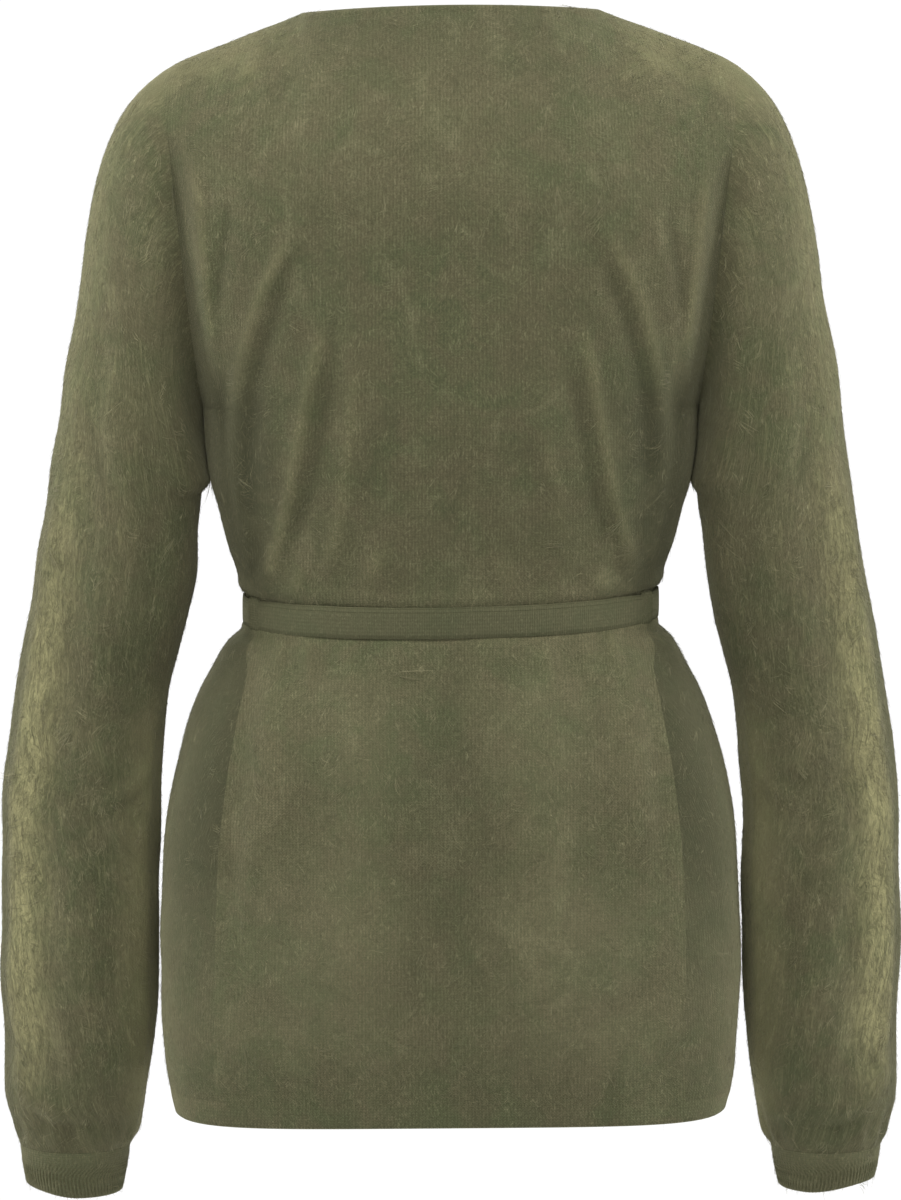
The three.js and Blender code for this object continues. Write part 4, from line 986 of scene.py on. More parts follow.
def cloth_material(name, base=OLIVE, fuzz=0.5, knit=1.0, seed=0.0, wale=WALE, course=COURSE, arm=False, front=False):
    t = Tree(name)
    uvv, u, v = t.uv("knit")
    here, ax, y, z = place_of(t)
    off = t.add("ShaderNodeVectorMath", operation="ADD")
    t.link(here, off.inputs[0])
    off.inputs[1].default_value = (seed, seed * 0.7, -seed)
    co = off.outputs[0]
    sway = t.math("MULTIPLY", t.math("SUBTRACT", t.noise(co, 150.0, 2.0, 0.6), 0.5), 0.0016)
    h = knit_height(t, t.math("ADD", u, sway), t.math("ADD", v, sway), wale * MM, course * MM)
    h = t.math("ADD", t.math("MULTIPLY", h, 0.8), t.math("MULTIPLY", t.math("SUBTRACT", t.noise(t.vec(t.math("MULTIPLY", u, 330), t.math("MULTIPLY", v, 640), seed), 1.0, 2.0, 0.7), 0.5), 2.2))
    # cloud of tones, some greener and some browner
    big = t.span(t.noise(co, 15.0, 3.0, 0.62, 0.4), 0.38, 0.62)
    mid = t.span(t.noise(co, 42.0, 3.0, 0.6, 0.5), 0.38, 0.64)
    fine = t.noise(co, 900.0, 2.0, 0.7)
    c = t.mix(big, base, OLIVE_GREEN)
    c = t.mix(t.math("MULTIPLY", mid, 0.62), c, OLIVE_BROWN)
    # soft patches where the nap lies one way or the other
    patch = t.noise(t.vec(t.math("MULTIPLY", u, 34), t.math("MULTIPLY", v, 19), seed + 6), 1.0, 4.0, 0.62, 0.8)
    c = t.mix(t.span(patch, 0.53, 0.70, 0.0, 0.26), c, PALE_FIBRE_AND_HIGHLIGHT)
    c = t.mix(t.span(patch, 0.46, 0.30, 0.0, 0.30), c, DARK_TONE_AND_PAINTED_SHADE)
    # dark between the columns and in the stitches
    c = t.mix(t.span(h, -0.8, 0.5, 0.75 * knit, 0.0), c, OLIVE_DARK)
    c = t.mix(t.span(h, 0.3, 1.1, 0.0, 0.22 * knit), c, PALE_FIBRE_AND_HIGHLIGHT)
    # the nap: pale fibres lying down the cloth, in clumps, and short cross ones
    warp = t.noise(t.vec(t.math("MULTIPLY", u, 55), t.math("MULTIPLY", v, 42), seed), 1.0, 3.0, 0.6)
    bend = t.math("SUBTRACT", warp, 0.5)
    uw = t.math("ADD", u, t.math("MULTIPLY", bend, 0.016))
    vw = t.math("ADD", v, t.math("MULTIPLY", bend, 0.012))
    s1 = t.noise(t.vec(t.math("MULTIPLY", uw, 1500), t.math("MULTIPLY", v, 190), seed), 1.0, 3.0, 0.66, 0.5)
    s2 = t.noise(t.vec(t.math("MULTIPLY", u, 620), t.math("MULTIPLY", vw, 760), seed + 4), 1.0, 4.0, 0.75, 1.8)
    s3 = t.noise(t.vec(t.math("MULTIPLY", uw, 420), t.math("MULTIPLY", v, 44), seed + 9), 1.0, 3.0, 0.6, 0.6)
    clump = t.span(t.noise(co, 60.0, 4.0, 0.68, 0.5), 0.42, 0.66)
    f1 = t.math("MULTIPLY", t.span(s1, 0.50, 0.74), t.math("ADD", t.math("MULTIPLY", clump, 0.8), 0.35))
    f2 = t.math("MULTIPLY", t.span(s2, 0.52, 0.76), t.math("ADD", t.math("MULTIPLY", clump, 0.5), 0.35))
    f = t.math("MULTIPLY", t.math("ADD", f1, f2), fuzz, clamp=True)
    c = t.mix(f, c, PALE_FIBRE_AND_HIGHLIGHT)
    c = t.mix(t.math("MULTIPLY", t.span(s1, 0.47, 0.28), 0.55), c, OLIVE_DARK)
    c = t.mix(t.math("MULTIPLY", t.span(s3, 0.50, 0.32), 0.20 * fuzz), c, OLIVE_DARK)
    grain = t.noise(t.vec(t.math("MULTIPLY", u, 900), t.math("MULTIPLY", v, 420), seed + 2), 1.0, 2.0, 0.7)
    c = t.mix(t.span(fine, 0.30, 0.66, 0.0, 0.36), c, OLIVE_DARK)
    c = t.mix(t.span(grain, 0.36, 0.64, 0.31, 0.0), c, DARK_TONE_AND_PAINTED_SHADE)
    # painted highlight along the narrow folds above the belt, and painted shade in their hollows
    fold = t.add("ShaderNodeAttribute", attribute_name="fold").outputs["Fac"]
    high = 0.30 if arm else t.span(z, -0.396, -0.376, 0.22, 1.0)
    c = t.mix(product(t, t.span(fold, 0.35, 2.6, 0.0, 0.24), t.math("ADD", 0.45, t.math("MULTIPLY", f1, 1.3)), high), c, PALE_NAP_AND_HIGHLIGHT)
    c = t.mix(t.math("MULTIPLY", t.span(fold, -0.4, -2.8, 0.0, 0.34), high), c, DARK_TONE_AND_PAINTED_SHADE)
    if arm:
        # painted highlight, broken into streaks, along the arm's pressed line, and painted shade on its two flanks
        side = t.math("ADD", t.math("ABSOLUTE", u), t.math("MULTIPLY", bend, 0.010))
        streaks_in_highlight = t.math("ADD", 0.20, t.math("ADD", t.math("MULTIPLY", t.span(s3, 0.36, 0.62), 0.52), t.math("MULTIPLY", t.span(s1, 0.40, 0.66), 0.40)))
        lower = t.span(z, -0.18, -0.46)
        rear = t.span(u, -0.012, 0.012, 0.50, 1.0)
        painted_band_highlight = product(t, bell(t, side, 0.0440, 0.0145), lower, t.span(z, -0.716, -0.628), streaks_in_highlight, rear)
        c = t.mix(t.math("MULTIPLY", painted_band_highlight, 0.95, clamp=True), c, PALE_NAP_AND_HIGHLIGHT)
        # painted shade on the strip along the arm's outer line
        rim = product(t, t.span(side, 0.032, 0.018), lower)
        c = t.mix(t.math("MULTIPLY", rim, 0.60), c, DARK_TONE_AND_PAINTED_SHADE)
        # painted shade, darker towards the cuff
        c = t.mix(t.math("MULTIPLY", t.span(z, -0.625, -0.700), 0.32), c, DARK_TONE_AND_PAINTED_SHADE)
        # painted highlight on the outer upper arm
        painted_upper_arm_highlight = product(t, t.span(side, 0.075, 0.020), t.span(z, -0.32, -0.12), t.span(ax, 0.186, 0.232), streaks_in_highlight)
        c = t.mix(t.math("MULTIPLY", painted_upper_arm_highlight, 0.30, clamp=True), c, PALE_NAP_AND_HIGHLIGHT)
        # painted shade on the inner side of the upper arm
        inner = product(t, t.span(side, 0.070, 0.110), t.span(z, -0.12, -0.30))
        c = t.mix(t.math("MULTIPLY", inner, 0.10), c, DARK_TONE_AND_PAINTED_SHADE)
        # painted highlight down the inner side from the elbow
        under = product(t, t.span(side, 0.098, 0.135), t.span(z, -0.40, -0.48))
        c = t.mix(t.math("MULTIPLY", under, 0.38), c, PALE_NAP_AND_HIGHLIGHT)
        c = paint_cap_highlight_and_crease_shade(t, c, ax, z)
        # combed streaks run on down the whole arm
        c = t.mix(t.math("MULTIPLY", t.span(s3, 0.52, 0.70), t.span(z, -0.60, -0.69, 0.17, 0.08)), c, PALE_NAP_AND_HIGHLIGHT)
    else:
        c = paint_body_light_and_shade(t, c, here, ax, y, z, front)
    height = t.math("ADD", t.math("MULTIPLY", h, 0.6 * knit), t.math("MULTIPLY", t.math("ADD", s1, s2), 0.9))
    return t.finish(c, height, strength=0.42, distance=0.0006, sheen=0.36)


def rib_material(name, pitch, across=True, seed=0.0, amount=1.0, lines=(), deep=0.0, napped=False):
    """Ribs along one way of the knit; lines are extra faint grooves at places of v, in metres."""
    t = Tree(name)
    uvv, u, v = t.uv("knit")
    here, ax, y, z = place_of(t)
    a = t.math("DIVIDE", u if across else v, pitch * MM)
    b = t.math("DIVIDE", v if across else u, 1.5 * MM)
    rib = t.math("COSINE", t.math("MULTIPLY", a, 2 * math.pi))
    st = t.math("SINE", t.math("MULTIPLY", b, 2 * math.pi))
    big = t.span(t.noise(here, 26.0, 3.0, 0.6, 0.4), 0.38, 0.64)
    c = t.mix(big, srgb(103, 102, 77), srgb(96, 99, 73))
    grow = t.span(z, -0.724, -0.738, 0.12, 1.0) if napped else 1.0
    c = t.mix(t.math("MULTIPLY", t.span(rib, -0.8, 0.9, 0.60 * amount, 0.0), grow), c, OLIVE_DARK)
    c = t.mix(t.span(st, -0.9, 0.9, 0.24, 0.0), c, OLIVE_DARK)
    s1 = t.noise(t.vec(t.math("MULTIPLY", u, 900), t.math("MULTIPLY", v, 420), seed), 1.0, 4.0, 0.7, 1.2)
    fine = t.noise(here, 900.0, 2.0, 0.7)
    c = t.mix(t.math("MULTIPLY", t.span(s1, 0.5, 0.74), 0.42), c, PALE_FIBRE_AND_HIGHLIGHT)
    c = t.mix(t.span(fine, 0.30, 0.66, 0.0, 0.34), c, OLIVE_DARK)
    c = t.mix(deep, c, DARK_TONE_AND_PAINTED_SHADE)
    height = t.math("ADD", t.math("MULTIPLY", t.math("MULTIPLY", rib, grow), 0.5 * amount), t.math("ADD", t.math("MULTIPLY", st, 0.2), t.math("MULTIPLY", s1, 0.7)))
    for at in lines:
        mark = bell(t, v, at, 0.0004)
        c = t.mix(t.math("MULTIPLY", mark, 0.5), c, OLIVE_DARK)
        height = t.math("SUBTRACT", height, mark)
    return t.finish(c, height, strength=0.5, distance=0.0006, sheen=0.3)


def nap_material(name, deep, pale):
    """Fibres: each has its own tone across the map, and painted shade darkens its root."""
    t = Tree(name)
    uvv, u, v = t.uv("OFBake")
    cell = t.math("DIVIDE", t.math("FLOOR", t.math("MULTIPLY", u, 64.0)), 63.0)
    ramp = t.add("ShaderNodeValToRGB")
    t.link(cell, ramp.inputs[0])
    ramp.color_ramp.elements[0].color = deep
    ramp.color_ramp.elements[1].color = pale
    e = ramp.color_ramp.elements.new(0.55)
    e.color = tuple((a * 0.66 + b * 0.34) for a, b in zip(deep, pale))
    # painted shade at the root of each fibre
    root = t.span(v, 0.0, 0.40, 0.50, 0.0)
    c = t.mix(root, ramp.outputs[0], OLIVE_DARK)
    t.link(c, t.bsdf.inputs["Base Color"])
    t.bsdf.inputs["Roughness"].default_value = 0.75
    t.bsdf.inputs["Specular IOR Level"].default_value = 0.2
    t.bsdf.inputs["Sheen Weight"].default_value = 0.2
    t.bsdf.inputs["Sheen Roughness"].default_value = 0.5
    return t.mat


M_BACK = cloth_material("knit_back", fuzz=0.55, knit=0.9, seed=0.0)
M_FRONT = cloth_material("knit_front", fuzz=0.66, knit=0.8, seed=0.0, front=True)
M_SLEEVE = cloth_material("knit_sleeve", fuzz=0.84, knit=0.6, seed=0.0, arm=True)
M_HEM = cloth_material("knit_hem", base=srgb(100, 98, 73), fuzz=0.5, knit=0.85, seed=0.0, course=1.9)
M_RIB = rib_material("rib_cuff", RIB, True, 1.0, 1.5, deep=0.0, napped=True)
M_LOOP = rib_material("rib_loop", 2.4, True, 2.0, 0.5, deep=0.22)
M_BELT = rib_material("knit_belt", 2.2, False, 3.0, 0.30, lines=(0.0150, 0.0172), deep=0.24)
M_NAP = nap_material("nap_fibres", srgb(86, 85, 60), srgb(170, 165, 128))


# --------------------------------------------------------------------- nap
def nap(name, p, n, wrap, needles, bent, long_ones, tufts, seed, dense=None, size=4.2, swing=0.8, pale=0.66):
    """Brushed fibres as thin ribbons on a cloth grid: short needles and bent ones
    all over, long curved ones, and tufts of fibres that lie together."""
    rng = np.random.default_rng(seed)
    q = lean(p)
    if wrap:
        q = np.concatenate([q, q[:, :1]], 1)
        n = np.concatenate([n, n[:, :1]], 1)
    a, b, c, d = q[:-1, :-1], q[:-1, 1:], q[1:, 1:], q[1:, :-1]
    area = 0.5 * (np.linalg.norm(np.cross(b - a, d - a), axis=-1) + np.linalg.norm(np.cross(b - c, d - c), axis=-1))
    rows_n, cols_n = area.shape
    weight = area * (dense((a + c) / 2, rows_n, cols_n) if dense else 1.0)
    flat = (weight / weight.sum()).ravel()
    top_down = q[0, 0, 2] > q[-1, 0, 2]

    def place(k):
        cell = rng.choice(flat.size, size=k, p=flat)
        i, j = cell // cols_n, cell % cols_n
        s, t = rng.random(k)[:, None], rng.random(k)[:, None]
        pos = (1 - t) * ((1 - s) * q[i, j] + s * q[i, j + 1]) + t * ((1 - s) * q[i + 1, j] + s * q[i + 1, j + 1])
        nor = unit((1 - t) * ((1 - s) * n[i, j] + s * n[i, j + 1]) + t * ((1 - s) * n[i + 1, j] + s * n[i + 1, j + 1]))
        down = (q[i + 1, j] - q[i, j]) if top_down else (q[i, j] - q[i + 1, j])
        down = unit(down - (down * nor).sum(-1, keepdims=True) * nor)
        return pos, nor, down, unit(np.cross(down, nor))

    def flow(pos):
        return (waves(pos, seed + 1, 50, 130, 12) * 0.55 + waves(pos, seed + 2, 12, 34, 14) * 0.65) * swing

    verts, faces3, uv3 = [], [], []
    total = 0

    def ribbons(pos, nor, down, across, angle, length, lift, bend, width, tone, steps):
        """steps quads and a pointed tip."""
        nonlocal total
        k = len(pos)
        cur = angle[:, None].copy()
        pts = [pos - nor * 0.10]
        here = pts[0]
        seg = length / (steps + 1)
        for i in range(steps + 1):
            d = np.cos(cur) * down + np.sin(cur) * across
            f = (i + 1) / (steps + 1)
            up = lift * (1.5 - 1.6 * f) if steps else lift
            here = here + (d + nor * up[:, None]) * seg[:, None]
            gone = seg * (i + 1)
            pts.append(here - nor * (gone * gone / 110)[:, None])
            cur = cur + bend[:, None] / (steps + 1)
        first = unit(pts[1] - pts[0])
        side_dir = unit(np.cross(first, unit(nor + rng.normal(size=nor.shape) * 0.6)))
        cols = []
        for i in range(steps + 1):
            w = width * (1.0 - 0.35 * i / (steps + 1)) * 0.5
            cols += [pts[i] - side_dir * w[:, None], pts[i] + side_dir * w[:, None]]
        cols.append(pts[-1])
        m = len(cols)
        vs = np.stack(cols, 1)
        base = total + np.arange(k)[:, None] * m
        u0 = (np.clip((tone * 64).astype(int), 0, 63) + 0.2) / 64.0
        u1 = u0 + 0.6 / 64.0
        tri, uv = [], []
        pair = lambda uu, vv: np.stack([uu, u0 * 0 + vv], -1)
        for i in range(steps):
            l0, r0, l1, r1 = 2 * i, 2 * i + 1, 2 * i + 2, 2 * i + 3
            v0, v1 = 0.02 + 0.46 * i / (steps + 1), 0.02 + 0.46 * (i + 1) / (steps + 1)
            tri += [np.concatenate([base + l0, base + r0, base + r1], 1), np.concatenate([base + l0, base + r1, base + l1], 1)]
            uv += [np.stack([pair(u0, v0), pair(u1, v0), pair(u1, v1)], 1), np.stack([pair(u0, v0), pair(u1, v1), pair(u0, v1)], 1)]
        v0 = 0.02 + 0.46 * steps / (steps + 1)
        tri.append(np.concatenate([base + 2 * steps, base + 2 * steps + 1, base + m - 1], 1))
        uv.append(np.stack([pair(u0, v0), pair(u1, v0), pair((u0 + u1) / 2, 0.48)], 1))
        verts.append(vs.reshape(-1, 3))
        faces3.append(np.concatenate(tri, 0))
        uv3.append(np.concatenate(uv, 0))
        total += k * m

    pos, nor, down, across = place(needles)
    ribbons(pos, nor, down, across, flow(pos) + rng.normal(size=needles) * 0.7, size * rng.lognormal(0, 0.30, needles),
            rng.uniform(0.04, 0.42, needles), np.zeros(needles), rng.uniform(0.12, 0.20, needles), rng.beta(1.6, 2.4, needles), 0)
    pos, nor, down, across = place(bent)
    ribbons(pos, nor, down, across, flow(pos) + rng.normal(size=bent) * 0.6, size * 1.5 * rng.lognormal(0, 0.30, bent),
            rng.uniform(0.08, 0.36, bent), rng.normal(size=bent) * 0.9, rng.uniform(0.10, 0.16, bent), rng.beta(1.8, 2.2, bent), 1)
    pos, nor, down, across = place(long_ones)
    ribbons(pos, nor, down, across, flow(pos) + rng.normal(size=long_ones) * 0.4, size * 2.6 * rng.lognormal(0, 0.28, long_ones),
            rng.uniform(0.02, 0.13, long_ones), rng.normal(size=long_ones) * 0.9, rng.uniform(0.14, 0.22, long_ones), 0.14 + 0.80 * pale * rng.beta(2.2, 1.6, long_ones), 2)
    each = 8
    pos, nor, down, across = place(tufts)
    ang, bend = flow(pos) + rng.normal(size=tufts) * 0.35, rng.normal(size=tufts) * 0.9
    long_t = size * 2.3 * rng.lognormal(0, 0.35, tufts)
    rep = lambda x: np.repeat(x, each, axis=0)
    k = tufts * each
    jit = rng.normal(size=(k, 2))
    pos2 = rep(pos) + rep(across) * jit[:, :1] * 0.7 + rep(down) * jit[:, 1:] * 1.8
    ribbons(pos2, rep(nor), rep(down), rep(across), rep(ang) + rng.normal(size=k) * 0.14, rep(long_t) * rng.uniform(0.6, 1.15, k),
            rng.uniform(0.02, 0.12, k), rep(bend) + rng.normal(size=k) * 0.3, rng.uniform(0.14, 0.24, k),
            np.clip(pale + rng.normal(size=k) * 0.13, 0, 0.999), 2)
    ob = mesh_from(name, np.concatenate(verts, 0) * MM, np.concatenate(faces3, 0).astype(np.int32), {"OFBake": np.concatenate(uv3, 0)}, [M_NAP], smooth=False)
    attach(ob, "root")
    return ob


def keep(ob, node, slot_name):
    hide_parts(node)
    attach(ob, "root")
    return ob


back_k = knit_coords(back, centre=BACK_COLS // 2)
keep(shell("cloth_back", back, back_n, back_k, M_BACK, joins=("low", "left", "right"), fold=sum(fold_heights(back))), "back", "cashmere")
fl_k = knit_coords(front_l[:, ::-1])
keep(shell("cloth_front_left", front_l, front_l_n, (fl_k[0][:, ::-1], fl_k[1][:, ::-1]), M_FRONT, joins=("low", "left"), fold=sum(fold_heights(front_l))), "front_left", "cashmere")
fr_k = knit_coords(front_r[:, ::-1])
keep(shell("cloth_front_right", front_r, front_r_n, (fr_k[0][:, ::-1], fr_k[1][:, ::-1]), M_FRONT, joins=("low", "left"), fold=sum(fold_heights(front_r))), "front_right", "cashmere")

for kind, node in (("back", "hem_back"), ("inner", "hem_front_left"), ("outer", "hem_front_right")):
    p, n = hem_grid(kind)
    k = knit_coords(p, centre=p.shape[1] // 2)
    keep(shell("cloth_" + node, p, n, k, M_HEM, bulge=0.5, joins=("top", "left", "right") if kind == "back" else ("top", "left")), node, "rib")

sleeves, cuffs = {}, {}
for sign, word, seed in ((1.0, "left", 21), (-1.0, "right", 34)):
    p, n, crest = sleeve_piece(sign, seed)
    sleeves[word] = (p, n)
    keep(shell("cloth_sleeve_" + word, p, n, round_coords(p), M_SLEEVE, wrap=True, joins=("low", "top"), fold=crest), "sleeve_" + word, "cashmere")
    p, n = cuff_piece(sign)
    cuffs[word] = (p, n)
    keep(shell("cloth_cuff_" + word, p, n, knit_coords(p, wrap=True), M_RIB, wrap=True, bulge=0.5, joins=("low",)), "cuff_" + word, "rib")


# ---------------------------------------------------------------- belt (mm)
def strip_profile(high, thick, count=5):
    """Closed flat section with soft edges: (along the width, out) points, outer side first."""
    w, t = high / 2, thick
    outer = [(w * s, t * (1 - 0.16 * s ** 4)) for s in np.linspace(-0.95, 0.95, count)]
    return outer + [(w, t * 0.50), (w * 0.99, t * 0.18)] + [(w * s, 0.0) for s in np.linspace(0.93, -0.93, count)] + [(-w * 0.99, t * 0.18), (-w, t * 0.50)]


def belt_piece():
    m = 260
    line = ring(np.linspace(0, 2 * math.pi, 1441), np.full(1441, BELT_Z))
    mid = even(line, m)[:m]
    n = unit(np.stack([(np.roll(mid, -1, 0) - np.roll(mid, 1, 0))[:, 1], -(np.roll(mid, -1, 0) - np.roll(mid, 1, 0))[:, 0], np.zeros(m)], -1))
    prof = strip_profile(BELT_HIGH, 2.2, 7)
    s = np.arange(m) / m
    rng = np.random.default_rng(8)
    ripple = sum(rng.uniform(0.1, 0.35) * np.sin(2 * math.pi * k * s + rng.uniform(0, 6.28)) for k in (5, 9, 14, 22))
    # narrower where the loops gather it
    x = mid[:, 0]
    gather = np.exp(-((np.abs(x) - 124) / 10) ** 2)
    rows = []
    for w, o in prof:
        w = w * (1 - 0.10 * gather)
        out = 0.3 + o + (0.35 if o > 0 else 0.1) * (ripple + 0.5) * (1 if o > 0.1 else 0.4)
        z = BELT_Z + w + 0.3 * ripple
        rows.append(np.stack([mid[:, 0] + n[:, 0] * out, mid[:, 1] + n[:, 1] * out, z], -1))
    p = lean(np.array(rows))
    return p, m


def tube_mesh(name, p, mat, knit_u, knit_v, closed_u=True, cap=False):
    """p is (rows round the section, points along, 3); the section closes, and closed_u says if the run closes too."""
    nr, nc = p.shape[:2]
    idx = np.arange(nr * nc).reshape(nr, nc)
    idx = np.concatenate([idx, idx[:1]], 0)
    ku = np.broadcast_to(knit_u, (nr + 1, nc + (1 if closed_u else 0)))
    kv = np.broadcast_to(knit_v[:, None], (nr + 1, nc + (1 if closed_u else 0)))
    if closed_u:
        idx = np.concatenate([idx, idx[:, :1]], 1)
    f = np.stack([idx[:-1, :-1], idx[:-1, 1:], idx[1:, 1:], idx[1:, :-1]], -1).reshape(-1, 4)
    cs = lambda a: np.stack([a[:-1, :-1], a[:-1, 1:], a[1:, 1:], a[1:, :-1]], -1).reshape(-1, 4)
    jj, rr = np.meshgrid(np.linspace(0.01, 0.99, idx.shape[1]), np.linspace(0.01, 0.99, nr + 1))
    ob = mesh_from(name, p.reshape(-1, 3) * MM, f, {"knit": np.stack([cs(ku), cs(kv)], -1), "OFBake": np.stack([cs(jj), cs(rr)], -1)}, [mat])
    bm_fix(ob)
    return ob


p, m = belt_piece()
girth = np.concatenate([[0], np.cumsum(np.linalg.norm(np.diff(np.concatenate([p[3], p[3][:1]], 0), axis=0), axis=1))]) * MM
sect = np.concatenate([[0], np.cumsum([np.linalg.norm(p[(i + 1) % len(p), 0] - p[i, 0]) for i in range(len(p))])]) * MM
keep(tube_mesh("cloth_belt", p, M_BELT, girth[None, :], sect), "belt", "belt")


def loop_piece(sign):
    prof = [(0.455, -1.8), (0.435, -0.9), (0.405, 0.3), (0.375, 1.4), (0.335, 2.1), (0.26, 2.5), (0.15, 2.6), (0.0, 2.65),
            (-0.15, 2.6), (-0.26, 2.5), (-0.335, 2.1), (-0.375, 1.4), (-0.405, 0.3), (-0.435, -0.9), (-0.455, -1.8)]
    cols = 25
    rows, nors = [], []
    for h, out in prof:
        w = np.linspace(-1, 1, cols)
        z = BELT_Z + h * LOOP_HIGH
        a = np.radians(LOOP_DEG + 1.5 + w * 17.5 * 0.5 * 180 / (math.pi * 122))
        n = ring_normal(a, np.full(cols, BELT_Z))
        half = float(read(BODY, 1, z) - read(BODY, 1, BELT_Z))
        off = max(out, 0.94 * half - 0.4) + LOOP_THICK * 0.7 * (1 - 0.75 * np.abs(w) ** 5) + 0.22 * np.cos(2 * math.pi * w * 3.25)
        q = ring(a, np.full(cols, BELT_Z)) + n * off[:, None]
        q[:, 2] = z
        rows.append(q)
        nors.append(n)
    m = np.array([sign, 1.0, 1.0])
    return np.array(rows)[::-1] * m, np.array(nors)[::-1] * m


for sign, word in ((1.0, "left"), (-1.0, "right")):
    p, n = loop_piece(sign)
    keep(shell("cloth_loop_" + word, p, n, knit_coords(p, centre=12), M_LOOP, wall=LOOP_THICK, bulge=0.4), "belt_loop_" + word, "rib")


def end_piece(name, table, node, seed):
    m = 70
    h = np.linspace(0, table[-1, 0], m)
    z = END_TOP + h
    x, turn, off = read(table, 1, h), np.radians(read(table, 2, h)), read(table, 3, h)
    half, square = read(BODY, 1, z), read(BODY, 4, z)
    y = -read(BODY, 3, z) * (1 - (np.abs(x) / half) ** square) ** (1 / square)
    rng = np.random.default_rng(seed)
    s = np.linspace(0, 1, m)
    curl = 0.5 * np.sin(2 * math.pi * (1.4 * s + rng.random())) + 0.3 * np.sin(2 * math.pi * (3.1 * s + rng.random()))
    rows = []
    for w, o in strip_profile(END_WIDE, END_THICK, 7):
        bow = curl * (w / 10) ** 2 * 0.6
        dx, dy = np.cos(turn), np.sin(turn)
        nx, ny = np.sin(turn), -np.cos(turn)
        wx = w * (1 - 0.05 * (1 - s))
        rows.append(np.stack([x + wx * dx + nx * (o + bow - 0.0), y - off + wx * dy + ny * (o + bow) , z], -1))
    p = lean(np.array(rows))
    run = np.concatenate([[0], np.cumsum(np.linalg.norm(np.diff(p[3], axis=0), axis=1))]) * MM
    sect = np.concatenate([[0], np.cumsum([np.linalg.norm(p[(i + 1) % len(p), 0] - p[i, 0]) for i in range(len(p))])]) * MM
    ob = tube_mesh(name, p, M_BELT, run[None, :], sect, closed_u=False)
    return keep(ob, node, "belt"), float(run[-1])


_, END_L_LONG = end_piece("cloth_belt_end_left", END_LEFT, "belt_end_left", 4)
_, END_R_LONG = end_piece("cloth_belt_end_right", END_RIGHT, "belt_end_right", 9)


def knot_piece():
    """The turn of the belt over itself: a plump block with the folds of the tie in it."""
    rows, cols = 46, 72
    th = np.linspace(0.0, math.pi, rows)[:, None]
    ph = np.linspace(0, 2 * math.pi, cols, endpoint=False)[None, :]
    a, b, c = np.sin(th) * np.cos(ph), np.cos(th) + 0 * ph, np.sin(th) * np.sin(ph)
    block = lambda v: np.sign(v) * np.abs(v) ** 0.72
    edge = float(-read(BODY, 3, BELT_Z) * (1 - (KNOT_X / float(read(BODY, 1, BELT_Z))) ** float(read(BODY, 4, BELT_Z))) ** (1 / float(read(BODY, 4, BELT_Z))))
    y0 = edge - LIE - BELT_THICK + 1.8 - KNOT_DEEP / 2
    pinch = 1 - 0.16 * np.exp(-((b / 0.35) ** 2))
    x = KNOT_X + block(a) * KNOT_WIDE * 0.5 * pinch
    y = y0 - block(c) * KNOT_DEEP * 0.5
    z = BELT_Z + BELT_TILT * KNOT_X + block(b) * KNOT_HIGH * 0.5 - a * 3
    p = np.stack([x, y, z], -1)
    u, w = x - KNOT_X, z - BELT_Z
    folds = [
        ([(-17, 9), (-8, 5), (2, 1), (9, -6), (12, -14)], 1.9, 3, 3, 8), ([(-17, 2), (-8, -2), (0, -7), (4, -14)], -1.8, 2, 2, 7),
        ([(-14, 14), (-4, 10), (6, 6), (15, -1)], -2.0, 2, 2, 8), ([(-6, 15), (4, 12), (13, 7)], 1.3, 2.6, 2.6, 7),
        ([(-15, -7), (-9, -10), (-4, -15)], 1.3, 2.6, 2.6, 6), ([(10, 14), (14, 8), (16, 0)], -1.2, 2, 2, 6),
        ([(9, -8), (14, -10), (17, -9)], -1.0, 2, 2, 5),
    ]
    h = fold_sum(folds, u, w) * soft(c / 0.3)
    out = unit(np.stack([a, -c, b], -1))
    p = p + out * h[..., None]
    faces = []
    idx = np.arange(rows * cols).reshape(rows, cols)
    wr = np.concatenate([idx, idx[:, :1]], 1)
    f = np.stack([wr[:-1, :-1], wr[1:, :-1], wr[1:, 1:], wr[:-1, 1:]], -1).reshape(-1, 4)
    uu = np.broadcast_to(np.linspace(0, 0.11, cols + 1)[None, :], (rows, cols + 1))
    vv = np.broadcast_to(np.linspace(0, 0.05, rows)[:, None], (rows, cols + 1))
    cs = lambda g: np.stack([g[:-1, :-1], g[1:, :-1], g[1:, 1:], g[:-1, 1:]], -1).reshape(-1, 4)
    ob = mesh_from("cloth_belt_knot", p.reshape(-1, 3) * MM, f,
                   {"knit": np.stack([cs(uu), cs(vv)], -1), "OFBake": np.stack([cs(uu) / 0.112 + 0.005, cs(vv) / 0.051 + 0.005], -1)}, [M_BELT])
    import bmesh
    bm = bmesh.new()
    bm.from_mesh(ob.data)
    bmesh.ops.remove_doubles(bm, verts=bm.verts, dist=1e-6)
    bmesh.ops.recalc_face_normals(bm, faces=bm.faces)
    for face in bm.faces:
        face.smooth = True
    bm.to_mesh(ob.data)
    bm.free()
    return keep(ob, "belt_knot", "belt")


knot_piece()


# ----------------------------------------------------------------- nap on it
def clear_of_belt(z):
    return 1 - 0.96 * soft(1 - np.abs(z - BELT_Z) / 13)


def clear_of_tip(p):
    """Few fibres where the body ends at the top of the armhole, as the arm falls away there."""
    return 1 - 0.93 * soft((np.abs(p[..., 0]) - 166) / 8) * soft((p[..., 2] + 70) / 24)


